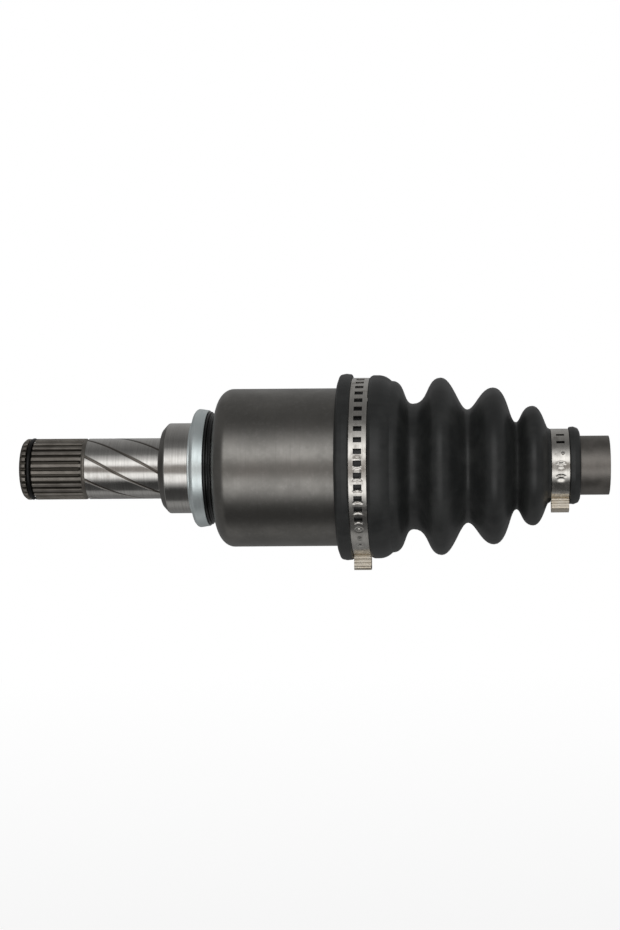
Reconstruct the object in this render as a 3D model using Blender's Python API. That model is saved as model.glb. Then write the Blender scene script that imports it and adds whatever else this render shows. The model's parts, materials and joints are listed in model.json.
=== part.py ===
"""Inboard half of a front CV axle: a plunging tripod joint, its boot and the axle bar.

Frame: metres. The axle lies along X with +X towards the wheel, +Z is up, and the origin is the
centre of the splined stub's inboard end face. The joint is drawn straight, at mid plunge.
"""

import math

import bmesh
import bpy
from mathutils import Matrix, Vector

MM = 0.001
GAP = 0.3 * MM
WELD = 1e-7
SHARP_ANGLE = math.radians(32)

# Sides of the turned pieces
HOUSING_SIDES = 42
SHIELD_SIDES = 40
BOOT_SIDES = 32
CLAMP_SIDES = 48
BAR_SIDES = 32
HUB_SIDES = 30
TRUNNION_SIDES = 24
CUP_SIDES = 24
ROLLER_SIDES = 28
WASHER_SIDES = 20

# Splined stub
TIP_CHAMFER = 1.8 * MM
SPLINE_TEETH = 28
SPLINE_RADIUS = 13.5 * MM
SPLINE_ROOT = 12.25 * MM
SPLINE_SPACE_ROOT = 0.31
SPLINE_SPACE_TIP = 0.54
SPLINE_END = 25.5 * MM
SPLINE_RUN_OUT = 3 * MM
CLIP_X = 4.1 * MM
CLIP_WIRE = 0.95 * MM
CLIP_RADIUS = 12.85 * MM
CLIP_GROOVE_ROOT = 11.6 * MM
NECK_RADIUS = 13.0 * MM
NECK_END = 28 * MM

# Oil-groove journal
OIL_JOURNAL_RADIUS = 13.45 * MM
OIL_JOURNAL_END = 58.7 * MM
OIL_GROOVES = 8
OIL_GROOVE_LEAD = 146 * MM
OIL_GROOVE_WIDTH = 1.0 * MM
OIL_GROOVE_ROOT = 13.1 * MM
OIL_GROOVE_STEPS = 8
UNDERCUT_RADIUS = 12.9 * MM

# Seal journal
SHOULDER_X = 61.1 * MM
SHOULDER_RADIUS = 17.75 * MM
SEAL_JOURNAL_X = 65.3 * MM
SEAL_JOURNAL_RADIUS = 20 * MM

# Joint housing
HOUSING_BACK = 83.6 * MM
HOUSING_BACK_RADIUS = 25.1 * MM
HOUSING_CORNER_END = 92.4 * MM
HOUSING_RADIUS = 35 * MM
HOUSING_CORNER_STEPS = 5
HOUSING_MOUTH = 158.5 * MM
MOUTH_CHAMFER = 1.2 * MM
BOOT_GROOVE_X = 149.3 * MM
BOOT_GROOVE_WIDTH = 3.6 * MM
BOOT_GROOVE_DEPTH = 1.0 * MM
CAVITY_FLOOR = 91.5 * MM
LAND_RADIUS = 19 * MM
RELIEF_START = 133 * MM
RELIEF_RADIUS = 28.4 * MM
TRACK_FLOOR = 93 * MM
TRACK_PITCH = 20.5 * MM
TRACK_RADIUS = 16.2 * MM
TRACK_CEILING = 30.3 * MM
MOUTH_RING_X = 155.8 * MM
MOUTH_RING_RADIUS = 29.9 * MM
MOUTH_RING_WIRE = 1.1 * MM

# Dust shield and dust seal
SHIELD_FACE = 74.5 * MM
SHIELD_END = 81.6 * MM
SHIELD_RADIUS = 25.7 * MM
SHIELD_LIP_RADIUS = 26.45 * MM
SHIELD_SHEET = 1.3 * MM
SEAL_END = 83.3 * MM

# Tripod, about the joint's centre
JOINT_X = 128 * MM
LEGS = 3
HUB_RADIUS = 15 * MM
HUB_HALF = 9.5 * MM
HUB_CHAMFER = 2.5 * MM
TRUNNION_RADIUS = 8.3 * MM
TRUNNION_TIP = 27 * MM
ROLLER_SPHERE = 15 * MM
ROLLER_BOTTOM = 15.3 * MM
ROLLER_TOP = 25.7 * MM
ROLLER_BORE = 10.7 * MM
ROLLER_COUNTERBORE = 12.8 * MM
NEEDLES = 16
NEEDLE_INNER = 8.6 * MM
NEEDLE_OUTER = 10.4 * MM
NEEDLE_VALLEY = 0.5 * MM
NEEDLE_TOP = 23.6 * MM
WASHER_THICKNESS = 0.8 * MM
CLIP_THICKNESS = 0.9 * MM

# Axle bar
BAR_END = 258.9 * MM
BAR_RADIUS = 13.15 * MM
BAR_NECK_RADIUS = 11.5 * MM
BAR_NECK_END = 222 * MM
BAR_TAPER_END = 228 * MM
BAR_GROOVE_X = 237 * MM
BAR_GROOVE_WIDTH = 3.4 * MM
BAR_GROOVE_DEPTH = 0.8 * MM
NOSE_SPHERE = 17 * MM
NOSE_RADIUS = 10.3 * MM
BAR_SPLINE_TEETH = 20
BAR_SPLINE_RADIUS = 11 * MM
BAR_SPLINE_ROOT = 10.1 * MM
BAR_TOOTH_TOP = 1.1 * MM
BAR_TOOTH_ROOT = 1.9 * MM
BAR_CLIP_X = 117.5 * MM
BAR_CLIP_RADIUS = 12.3 * MM
BAR_STOP_X = 138.8 * MM
BAR_STOP_RADIUS = 12.6 * MM
BAR_RING_ROOT = 9.0 * MM

# Thrust cup and its spring
CUP_SPHERE = 17.35 * MM
CUP_RADIUS = 9 * MM
CUP_THICKNESS = 1.8 * MM
CUP_STEM_RADIUS = 4.5 * MM
CUP_STEM = 3.2 * MM
SPRING_WIRE = 1.1 * MM
SPRING_TURNS = 4.5
SPRING_BASE_RADIUS = 12 * MM
SPRING_TOP_RADIUS = 6.4 * MM

# Boot: (x, radius) at the crests and roots of its folds
BOOT_START = 138.9 * MM
BOOT_LIP_RADIUS = 37.2 * MM
BOOT_FLANGE_RADIUS = 41.4 * MM
BOOT_SHOULDER_RADIUS = 40.8 * MM
BOOT_MOUTH_X = 163 * MM
BOOT_MOUTH_RADIUS = 38 * MM
BOOT_WALL = 2.6 * MM
BOOT_FOLDS = (
    (165.8 * MM, 37.0 * MM),
    (172.4 * MM, 27.9 * MM),
    (184.4 * MM, 39.5 * MM),
    (196.0 * MM, 25.3 * MM),
    (207.5 * MM, 34.9 * MM),
    (217.6 * MM, 18.7 * MM),
    (224.6 * MM, 26.6 * MM),
    (231.4 * MM, 16.7 * MM),
)
BOOT_SMALL_FLANGE = 240.9 * MM
BOOT_SMALL_FLANGE_RADIUS = 17.3 * MM
BOOT_END = 245.8 * MM

# Boot clamps: angles about X count from straight up, towards +Y when positive
CLAMP_SHEET = 0.9 * MM
LARGE_CLAMP_START = 145.3 * MM
LARGE_CLAMP_WIDTH = 8 * MM
LARGE_CLAMP_RADIUS = 39.5 * MM
LARGE_CLAMP_SLOTS = 19
LARGE_CLAMP_FIRST_SLOT = math.radians(5)
LARGE_CLAMP_EAR = math.radians(-180)
LARGE_CLAMP_LAP = math.radians(44)
LARGE_EAR_HEIGHT = 5.9 * MM
LARGE_EAR_LENGTH = 8 * MM
SMALL_CLAMP_START = 233.0 * MM
SMALL_CLAMP_WIDTH = 7.8 * MM
SMALL_CLAMP_RADIUS = 16.1 * MM
SMALL_CLAMP_SLOTS = 4
SMALL_CLAMP_FIRST_SLOT = math.radians(-33)
SMALL_CLAMP_EAR = math.radians(-162)
SMALL_CLAMP_LAP = math.radians(38)
SMALL_EAR_HEIGHT = 4.7 * MM
SMALL_EAR_LENGTH = 6.5 * MM
SLOT_PITCH = 5 * MM
SLOT_LENGTH = 2.2 * MM
SLOT_WIDTH = 3.7 * MM


def material(name, colour, roughness, metallic):
    made = bpy.data.materials.new(name)
    made.use_nodes = True
    shader = made.node_tree.nodes["Principled BSDF"]
    shader.inputs["Base Color"].default_value = (*colour, 1)
    shader.inputs["Roughness"].default_value = roughness
    shader.inputs["Metallic"].default_value = metallic
    return made


def placed(name, mesh, look, parent=None):
    """Makes an object of a bmesh whose points are given in the parent's frame."""
    bmesh.ops.remove_doubles(mesh, verts=mesh.verts, dist=WELD)
    bmesh.ops.recalc_face_normals(mesh, faces=mesh.faces)
    data = bpy.data.meshes.new(name)
    mesh.to_mesh(data)
    mesh.free()
    data.shade_smooth()
    data.set_sharp_from_angle(angle=SHARP_ANGLE)
    data.materials.append(look)
    made = bpy.data.objects.new(name, data)
    made.parent = parent
    bpy.context.scene.collection.objects.link(made)
    return made


def empty(name, location, turn=0.0, parent=None):
    made = bpy.data.objects.new(name, None)
    made.location = location
    made.rotation_euler = (turn, 0, 0)
    made.parent = parent
    bpy.context.scene.collection.objects.link(made)
    return made


def combine(target, helper, operation="DIFFERENCE"):
    """Cuts or joins a helper into a target, and keeps the helper out of the model."""
    helper.hide_render = True
    helper.display_type = "WIRE"
    modifier = target.modifiers.new(helper.name, "BOOLEAN")
    modifier.object = helper
    modifier.operation = operation


def add_lathe(mesh, outline, segments, axis="X"):
    """Spins (along the axis, radius) points into a solid. An outline off the axis is a closed loop."""
    if axis == "X":
        corners = [mesh.verts.new((along, 0, radius)) for along, radius in outline]
        direction = (1, 0, 0)
    else:
        corners = [mesh.verts.new((radius, 0, along)) for along, radius in outline]
        direction = (0, 0, 1)
    ends = corners[1:] + corners[:1] if outline[0][1] > 0 else corners[1:]
    edges = [mesh.edges.new(pair) for pair in zip(corners, ends)]
    bmesh.ops.spin(
        mesh,
        geom=corners + edges,
        cent=(0, 0, 0),
        axis=direction,
        angle=math.tau,
        steps=segments,
        use_merge=True,
    )


def lathe(name, outline, segments, look, parent=None, axis="X"):
    mesh = bmesh.new()
    add_lathe(mesh, outline, segments, axis)
    return placed(name, mesh, look, parent)


def add_loft(mesh, rings):
    """Adds a tube through rings of points. It closes on itself when the last ring is the first."""
    closed = rings[0] is rings[-1]
    loops = [[mesh.verts.new(point) for point in ring] for ring in (rings[:-1] if closed else rings)]
    following = loops[1:] + loops[:1] if closed else loops[1:]
    for near, far in zip(loops, following):
        for i in range(len(near)):
            j = (i + 1) % len(near)
            mesh.faces.new((near[i], near[j], far[j], far[i]))
    if not closed:
        mesh.faces.new(loops[0][::-1])
        mesh.faces.new(loops[-1])


def around_x(x, radius, angle):
    """The point at an angle about X, counted from straight up, towards +Y when positive."""
    return Vector((x, radius * math.sin(angle), radius * math.cos(angle)))


def add_sweep(mesh, section_at, start, turn, steps):
    """Sweeps a section of (x, radius) points about X. section_at takes the fraction swept."""
    rings = []
    for step in range(steps + 1):
        part = step / steps
        angle = start + turn * part
        rings.append([around_x(x, radius, angle) for x, radius in section_at(part)])
    add_loft(mesh, rings)


def rectangle(x, radius, width, thickness):
    """Section of a flat ring, centred on x, with its inner side at a radius."""
    half = width / 2
    return [
        (x - half, radius),
        (x + half, radius),
        (x + half, radius + thickness),
        (x - half, radius + thickness),
    ]


def circle(x, radius, wire, sides):
    angles = [math.tau * (i + 0.5) / sides for i in range(sides)]
    return [(x + wire * math.cos(a), radius + wire * math.sin(a)) for a in angles]


def arc(centre, radius, start, end, steps):
    """Points on a circle in the (x, radius) plane, angles in degrees from +X."""
    angles = [math.radians(start + (end - start) * i / steps) for i in range(steps + 1)]
    return [(centre[0] + radius * math.cos(a), centre[1] + radius * math.sin(a)) for a in angles]


def prism(name, outline, start, end, look, parent=None, axis="X"):
    """Extrudes an outline along an axis. The outline is (y, z) for X and (x, y) for Z."""
    mesh = bmesh.new()
    if axis == "X":
        rings = [[(along, y, z) for y, z in outline] for along in (start, end)]
    else:
        rings = [[(x, y, along) for x, y in outline] for along in (start, end)]
    add_loft(mesh, rings)
    return placed(name, mesh, look, parent)


def spaces_between_teeth(name, teeth, root, tip, root_width, tip_width, path, look):
    """Cutter for the spaces of a spline. path lists (x, how far the space's floor is raised)."""
    over = 0.6 * MM
    slope = (tip_width - root_width) / (tip - root)
    mesh = bmesh.new()
    for tooth in range(teeth):
        turn = Matrix.Rotation(math.tau * tooth / teeth, 3, "X")
        rings = []
        for x, raised in path:
            low, high = root + raised, tip + over + raised
            half_low = root_width / 2
            half_high = (root_width + slope * (high - low)) / 2
            section = ((-half_low, low), (half_low, low), (half_high, high), (-half_high, high))
            rings.append([turn @ Vector((x, y, z)) for y, z in section])
        add_loft(mesh, rings)
    return placed(name, mesh, look)


def run_out(start, length, rise, steps=3):
    """Floor of a spline space that curves up and out of the bar at its end."""
    points = []
    for i in range(steps + 1):
        part = i / steps
        points.append((start + length * part, rise * (1 - math.sqrt(1 - part * part))))
    return points


def housing_outline():
    """From the stub's end over the outside to the mouth, and back along the land bore."""
    clip_half = CLIP_WIRE + GAP
    stub = [
        (0, 0),
        (0, SPLINE_RADIUS - TIP_CHAMFER),
        (TIP_CHAMFER * 0.35, SPLINE_RADIUS - TIP_CHAMFER * 0.45),
        (TIP_CHAMFER, SPLINE_RADIUS - 0.1 * MM),
        (CLIP_X - clip_half, SPLINE_RADIUS),
        (CLIP_X - clip_half, CLIP_GROOVE_ROOT),
        (CLIP_X + clip_half, CLIP_GROOVE_ROOT),
        (CLIP_X + clip_half, SPLINE_RADIUS),
        (SPLINE_END, SPLINE_RADIUS),
        (SPLINE_END + 0.3 * MM, NECK_RADIUS),
        (NECK_END - 0.3 * MM, NECK_RADIUS),
        (NECK_END, OIL_JOURNAL_RADIUS),
        (OIL_JOURNAL_END, OIL_JOURNAL_RADIUS),
        (OIL_JOURNAL_END + 0.6 * MM, UNDERCUT_RADIUS),
        (SHOULDER_X - 0.5 * MM, UNDERCUT_RADIUS),
        (SHOULDER_X, UNDERCUT_RADIUS + 0.5 * MM),
        (SHOULDER_X, SHOULDER_RADIUS),
        (SHOULDER_X + 2.6 * MM, SEAL_JOURNAL_RADIUS - 0.6 * MM),
        (SEAL_JOURNAL_X, SEAL_JOURNAL_RADIUS),
        (HOUSING_BACK, SEAL_JOURNAL_RADIUS),
    ]
    corner_length = HOUSING_CORNER_END - HOUSING_BACK
    corner_height = HOUSING_RADIUS - HOUSING_BACK_RADIUS
    corner = []
    for i in range(HOUSING_CORNER_STEPS + 1):
        angle = math.pi / 2 * i / HOUSING_CORNER_STEPS
        x = HOUSING_CORNER_END - corner_length * math.cos(angle)
        corner.append((x, HOUSING_BACK_RADIUS + corner_height * math.sin(angle)))
    groove_half = BOOT_GROOVE_WIDTH / 2
    groove_root = HOUSING_RADIUS - BOOT_GROOVE_DEPTH
    mouth = [
        (BOOT_GROOVE_X - groove_half, HOUSING_RADIUS),
        (BOOT_GROOVE_X - groove_half + 0.4 * MM, groove_root),
        (BOOT_GROOVE_X + groove_half - 0.4 * MM, groove_root),
        (BOOT_GROOVE_X + groove_half, HOUSING_RADIUS),
        (HOUSING_MOUTH - MOUTH_CHAMFER, HOUSING_RADIUS),
        (HOUSING_MOUTH, HOUSING_RADIUS - MOUTH_CHAMFER),
        (HOUSING_MOUTH, RELIEF_RADIUS),
        (RELIEF_START, LAND_RADIUS),
        (CAVITY_FLOOR, LAND_RADIUS),
        (CAVITY_FLOOR, 0),
    ]
    return stub + corner + mouth


def track_outline():
    """Cross-section of a roller track, in (y, z) with the track straight up."""
    ceiling_side = math.acos(
        (TRACK_CEILING**2 + TRACK_PITCH**2 - TRACK_RADIUS**2) / (2 * TRACK_CEILING * TRACK_PITCH)
    )
    corner = (TRACK_CEILING * math.sin(ceiling_side), TRACK_CEILING * math.cos(ceiling_side))
    top = math.degrees(math.atan2(corner[1] - TRACK_PITCH, corner[0]))
    right = arc((0, TRACK_PITCH), TRACK_RADIUS, -50, top, 6)
    ceiling = [
        (TRACK_CEILING * math.sin(a), TRACK_CEILING * math.cos(a))
        for a in (ceiling_side * k for k in (0.4, -0.4))
    ]
    left = [(-y, z) for y, z in reversed(right)]
    return right + ceiling + left


def oil_groove_cutter(look):
    mesh = bmesh.new()
    start = SPLINE_END + 1 * MM
    end = SHOULDER_X - 0.4 * MM
    over = OIL_JOURNAL_RADIUS + 0.5 * MM
    half = OIL_GROOVE_WIDTH / 2
    slant = math.atan(math.tau * OIL_JOURNAL_RADIUS / OIL_GROOVE_LEAD)
    for groove in range(OIL_GROOVES):
        rings = []
        for step in range(OIL_GROOVE_STEPS + 1):
            x = start + (end - start) * step / OIL_GROOVE_STEPS
            angle = math.tau * (groove / OIL_GROOVES - x / OIL_GROOVE_LEAD)
            ring = []
            for side, radius in ((-1, OIL_GROOVE_ROOT), (1, OIL_GROOVE_ROOT), (1, over), (-1, over)):
                along = side * half * math.sin(slant)
                across = side * half * math.cos(slant) / radius
                ring.append(around_x(x + along, radius, angle + across))
            rings.append(ring)
        add_loft(mesh, rings)
    return placed("oil_groove_cutter", mesh, look)


def build_housing(steel):
    housing = lathe("tripod_housing", housing_outline(), HOUSING_SIDES, steel)
    pitch = math.tau * SPLINE_RADIUS / SPLINE_TEETH
    raised = SPLINE_RADIUS - SPLINE_ROOT + 0.3 * MM
    path = [(-1 * MM, 0)] + run_out(SPLINE_END - SPLINE_RUN_OUT, SPLINE_RUN_OUT, raised)
    spaces = spaces_between_teeth(
        "stub_spline_cutter",
        SPLINE_TEETH,
        SPLINE_ROOT,
        SPLINE_RADIUS,
        SPLINE_SPACE_ROOT * pitch,
        SPLINE_SPACE_TIP * pitch,
        path,
        steel,
    )
    combine(housing, spaces)
    combine(housing, oil_groove_cutter(steel))
    for leg in range(LEGS):
        track = prism(f"track_cutter_{leg + 1}", track_outline(), TRACK_FLOOR, HOUSING_MOUTH + 2 * MM, steel)
        track.rotation_euler.x = math.tau * leg / LEGS
        combine(housing, track)
    ring_space = [
        (MOUTH_RING_X - MOUTH_RING_WIRE - GAP, LAND_RADIUS),
        (MOUTH_RING_X - MOUTH_RING_WIRE - GAP, MOUTH_RING_RADIUS + MOUTH_RING_WIRE + GAP),
        (MOUTH_RING_X + MOUTH_RING_WIRE + GAP, MOUTH_RING_RADIUS + MOUTH_RING_WIRE + GAP),
        (MOUTH_RING_X + MOUTH_RING_WIRE + GAP, LAND_RADIUS),
    ]
    combine(housing, lathe("mouth_ring_groove_cutter", ring_space, HOUSING_SIDES, steel))
    return housing


def snap_ring(name, x, radius, wire, sides, open_angle, steps, look, parent=None):
    """Round-wire ring about X with its ends apart at the bottom."""
    mesh = bmesh.new()
    half_gap = open_angle / 2
    section = circle(x, radius, wire, sides)
    add_sweep(mesh, lambda part: section, math.pi + half_gap, math.tau - open_angle, steps)
    return placed(name, mesh, look, parent)


def flat_ring(name, x, inner, outer, thickness, open_angle, steps, look, parent=None):
    """Flat ring about X with its ends apart at the bottom."""
    mesh = bmesh.new()
    section = rectangle(x, inner, thickness, outer - inner)
    add_sweep(mesh, lambda part: section, math.pi + open_angle / 2, math.tau - open_angle, steps)
    return placed(name, mesh, look, parent)


def build_dust_shield(zinc):
    """Pressed ring of U section, open towards the housing, with a rolled lip on its inboard edge."""
    inner = SEAL_JOURNAL_RADIUS + GAP
    outline = [
        (SHIELD_FACE - 0.9 * MM, inner),
        (SHIELD_FACE - 0.9 * MM, inner + 0.9 * MM),
        (SHIELD_FACE, inner + SHIELD_SHEET),
        (SHIELD_FACE, SHIELD_RADIUS - 0.9 * MM),
        (SHIELD_FACE + 0.7 * MM, SHIELD_LIP_RADIUS - 0.3 * MM),
        (SHIELD_FACE + 1.7 * MM, SHIELD_LIP_RADIUS),
        (SHIELD_FACE + 2.4 * MM, SHIELD_LIP_RADIUS - 0.2 * MM),
        (SHIELD_FACE + 2.9 * MM, SHIELD_RADIUS),
        (SHIELD_END, SHIELD_RADIUS),
        (SHIELD_END, SHIELD_RADIUS - SHIELD_SHEET),
        (SHIELD_FACE + 1.8 * MM, SHIELD_RADIUS - SHIELD_SHEET),
        (SHIELD_FACE + SHIELD_SHEET, SHIELD_RADIUS - SHIELD_SHEET - 0.5 * MM),
        (SHIELD_FACE + SHIELD_SHEET, inner + SHIELD_SHEET),
        (SHIELD_END, inner + SHIELD_SHEET),
        (SHIELD_END, inner),
    ]
    return lathe("dust_shield", outline, SHIELD_SIDES, zinc)


def build_dust_seal(rubber):
    """Rubber ring whose body sits in the shield's channel and whose bead fills the joint to the housing."""
    inner = SEAL_JOURNAL_RADIUS + SHIELD_SHEET + 2 * GAP
    body = SHIELD_RADIUS - SHIELD_SHEET - GAP
    start = SHIELD_END + GAP
    outline = [
        (SHIELD_FACE + 4 * MM, inner),
        (SHIELD_FACE + 4 * MM, body),
        (start, body),
        (start, SHIELD_RADIUS - 0.2 * MM),
        (start + 0.5 * MM, SHIELD_RADIUS - 0.1 * MM),
        (SEAL_END, SHIELD_RADIUS - 0.65 * MM),
        (SEAL_END, inner),
    ]
    return lathe("dust_seal", outline, SHIELD_SIDES, rubber)


def rounded_folds(shrink, steps):
    """Points along the bellows: each side of a fold is half a cosine wave."""
    points = []
    for (x0, r0), (x1, r1) in zip(BOOT_FOLDS, BOOT_FOLDS[1:]):
        for step in range(steps):
            part = step / steps
            swing = (1 - math.cos(math.pi * part)) / 2
            points.append((x0 + (x1 - x0) * part, r0 + (r1 - r0) * swing - shrink))
    x, radius = BOOT_FOLDS[-1]
    return points + [(x, radius - shrink)]


def build_boot(rubber):
    large_seat = LARGE_CLAMP_RADIUS - CLAMP_SHEET - GAP
    small_seat = SMALL_CLAMP_RADIUS - CLAMP_SHEET - GAP
    large_end = LARGE_CLAMP_START + LARGE_CLAMP_WIDTH + GAP
    small_start = SMALL_CLAMP_START - GAP
    outer = [
        (BOOT_START, BOOT_LIP_RADIUS),
        (BOOT_START + 1.2 * MM, BOOT_FLANGE_RADIUS - 1 * MM),
        (BOOT_START + 3 * MM, BOOT_FLANGE_RADIUS),
        (LARGE_CLAMP_START - 0.8 * MM, BOOT_FLANGE_RADIUS - 0.2 * MM),
        (LARGE_CLAMP_START - GAP, large_seat),
        (large_end, large_seat),
        (large_end + 1 * MM, BOOT_SHOULDER_RADIUS - 0.2 * MM),
        (large_end + 3 * MM, BOOT_SHOULDER_RADIUS),
        (large_end + 6 * MM, BOOT_SHOULDER_RADIUS - 0.4 * MM),
        (BOOT_MOUTH_X, BOOT_MOUTH_RADIUS),
    ]
    small_end = [
        (small_start, small_seat),
        (BOOT_SMALL_FLANGE + GAP, small_seat),
        (BOOT_SMALL_FLANGE + 0.8 * MM, BOOT_SMALL_FLANGE_RADIUS),
        (BOOT_END - 1.6 * MM, BOOT_SMALL_FLANGE_RADIUS - 0.3 * MM),
        (BOOT_END, BOOT_SMALL_FLANGE_RADIUS - 1.8 * MM),
    ]
    bar_fit = BAR_RADIUS + GAP
    bar_rib = bar_fit - BAR_GROOVE_DEPTH + 0.2 * MM
    bar_half = BAR_GROOVE_WIDTH / 2 - GAP
    housing_fit = HOUSING_RADIUS + 0.35 * MM
    housing_rib = housing_fit - BOOT_GROOVE_DEPTH + 0.1 * MM
    housing_half = BOOT_GROOVE_WIDTH / 2 - GAP - 0.1 * MM
    bore_small = [
        (BOOT_END, bar_fit),
        (BAR_GROOVE_X + bar_half, bar_fit),
        (BAR_GROOVE_X + bar_half - 0.3 * MM, bar_rib),
        (BAR_GROOVE_X - bar_half + 0.3 * MM, bar_rib),
        (BAR_GROOVE_X - bar_half, bar_fit),
        (small_start, bar_fit),
    ]
    bore_large = [
        (BOOT_MOUTH_X, housing_fit),
        (BOOT_GROOVE_X + housing_half, housing_fit),
        (BOOT_GROOVE_X + housing_half - 0.4 * MM, housing_rib),
        (BOOT_GROOVE_X - housing_half + 0.4 * MM, housing_rib),
        (BOOT_GROOVE_X - housing_half, housing_fit),
        (BOOT_START, housing_fit),
    ]
    inside = rounded_folds(BOOT_WALL, 2)[::-1]
    outline = outer + rounded_folds(0, 3) + small_end + bore_small + inside + bore_large
    return lathe("boot", outline, BOOT_SIDES, rubber)


def pinched_ear(name, radius, start, width, height, length, look, parent):
    """Loop of the clamp strip folded outwards at the bottom, with three cross ridges on its back."""
    inner = CLAMP_SHEET * 0.9
    half = length / 2
    base = -(radius - 0.5 * CLAMP_SHEET)
    top = -(radius + height)
    corner = 0.8 * MM
    ridge = 0.35 * MM
    outline = [(-half, base), (-half, top + corner), (-half + corner, top)]
    for k in (-1, 0, 1):
        middle = k * length / 4
        outline += [(middle - length / 12, top), (middle, top + ridge), (middle + length / 12, top)]
    outline += [(half - corner, top), (half, top + corner), (half, base)]
    outline += [
        (half - inner, base),
        (half - inner, top + 2 * inner),
        (-half + inner, top + 2 * inner),
        (-half + inner, base),
    ]
    return prism(name, outline, start, start + width, look, parent)


def build_clamp(name, start, width, radius, slots, first_slot, ear, ear_size, lap_turn, look):
    """Band with a row of slots, a pinched ear, and a lap where the strip's two ends overlap."""
    ear_height, ear_length = ear_size
    centre = start + width / 2
    axis = empty(f"{name}_axis", (0, 0, 0), -math.pi - ear)
    mesh = bmesh.new()
    add_lathe(mesh, rectangle(centre, radius - CLAMP_SHEET, width, CLAMP_SHEET), CLAMP_SIDES)
    clamp = placed(name, mesh, look, axis)
    lap = bmesh.new()
    lap_section = rectangle(centre, radius - CLAMP_SHEET / 2, width * 0.97, CLAMP_SHEET * 1.3)
    add_sweep(lap, lambda part: lap_section, -math.pi + ear_length / 2 / radius, lap_turn, 6)
    combine(clamp, placed(f"{name}_lap", lap, look, axis), "UNION")
    loop = pinched_ear(
        f"{name}_ear", radius, start + 0.02 * width, 0.96 * width, ear_height, ear_length, look, axis
    )
    combine(clamp, loop, "UNION")
    cutter = bmesh.new()
    spread = SLOT_LENGTH / 2 / radius
    slot_section = rectangle(centre, radius - 2 * CLAMP_SHEET, SLOT_WIDTH, 4 * CLAMP_SHEET)
    for slot in range(slots):
        angle = first_slot - slot * SLOT_PITCH / radius
        add_sweep(cutter, lambda part: slot_section, angle - spread, 2 * spread, 1)
    combine(clamp, placed(f"{name}_slot_cutter", cutter, look))
    return clamp


def bar_outline():
    """In the joint centre's frame, from the round nose outwards."""
    nose_end = math.degrees(math.asin(NOSE_RADIUS / NOSE_SPHERE))
    nose = arc((0, 0), NOSE_SPHERE, 180, 180 - nose_end, 3)
    nose[0] = (nose[0][0], 0)
    clip, stop, groove = (x - JOINT_X for x in (BAR_CLIP_X, BAR_STOP_X, BAR_GROOVE_X))
    ring_half = CLIP_THICKNESS / 2 + GAP
    groove_half = BAR_GROOVE_WIDTH / 2
    body = [
        (nose[-1][0] + 0.7 * MM, BAR_SPLINE_RADIUS),
        (clip - ring_half, BAR_SPLINE_RADIUS),
        (clip - ring_half, BAR_RING_ROOT),
        (clip + ring_half, BAR_RING_ROOT),
        (clip + ring_half, BAR_SPLINE_RADIUS),
        (stop - ring_half, BAR_SPLINE_RADIUS),
        (stop - ring_half, BAR_RING_ROOT),
        (stop + ring_half, BAR_RING_ROOT),
        (stop + ring_half, BAR_SPLINE_RADIUS),
        (stop + 3.5 * MM, BAR_SPLINE_RADIUS),
        (stop + 5 * MM, BAR_NECK_RADIUS),
        (BAR_NECK_END - JOINT_X, BAR_NECK_RADIUS),
        (BAR_TAPER_END - JOINT_X, BAR_RADIUS),
        (groove - groove_half, BAR_RADIUS),
        (groove - groove_half + 0.3 * MM, BAR_RADIUS - BAR_GROOVE_DEPTH),
        (groove + groove_half - 0.3 * MM, BAR_RADIUS - BAR_GROOVE_DEPTH),
        (groove + groove_half, BAR_RADIUS),
        (BAR_END - JOINT_X, BAR_RADIUS),
        (BAR_END - JOINT_X, 0),
    ]
    return nose + body


def build_bar(steel, joint):
    bar = lathe("axle_bar", bar_outline(), BAR_SIDES, steel, joint)
    space_top = math.tau * BAR_SPLINE_RADIUS / BAR_SPLINE_TEETH - BAR_TOOTH_TOP
    space_root = math.tau * BAR_SPLINE_ROOT / BAR_SPLINE_TEETH - BAR_TOOTH_ROOT
    start = BAR_CLIP_X - JOINT_X
    raised = BAR_SPLINE_RADIUS - BAR_SPLINE_ROOT + 0.3 * MM
    path = [(start, 0)] + run_out(BAR_STOP_X - JOINT_X, 2.5 * MM, raised)
    spaces = spaces_between_teeth(
        "bar_spline_cutter",
        BAR_SPLINE_TEETH,
        BAR_SPLINE_ROOT,
        BAR_SPLINE_RADIUS,
        space_root,
        space_top,
        path,
        steel,
    )
    spaces.parent = joint
    combine(bar, spaces)
    return bar


def spider_bore_outline():
    """Outline of the bar's spline grown by the fitting gap, in (y, z)."""
    points = []
    half_pitch = math.pi / BAR_SPLINE_TEETH
    for tooth in range(BAR_SPLINE_TEETH):
        middle = math.tau * (tooth + 0.5) / BAR_SPLINE_TEETH
        low, high = BAR_SPLINE_ROOT + GAP, BAR_SPLINE_RADIUS + GAP
        half_low = min(BAR_TOOTH_ROOT / 2 + GAP, 0.92 * half_pitch * low) / low
        half_high = (BAR_TOOTH_TOP / 2 + GAP) / high
        for angle, radius in ((-half_low, low), (-half_high, high), (half_high, high), (half_low, low)):
            points.append((radius * math.sin(middle + angle), radius * math.cos(middle + angle)))
    return points


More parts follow.
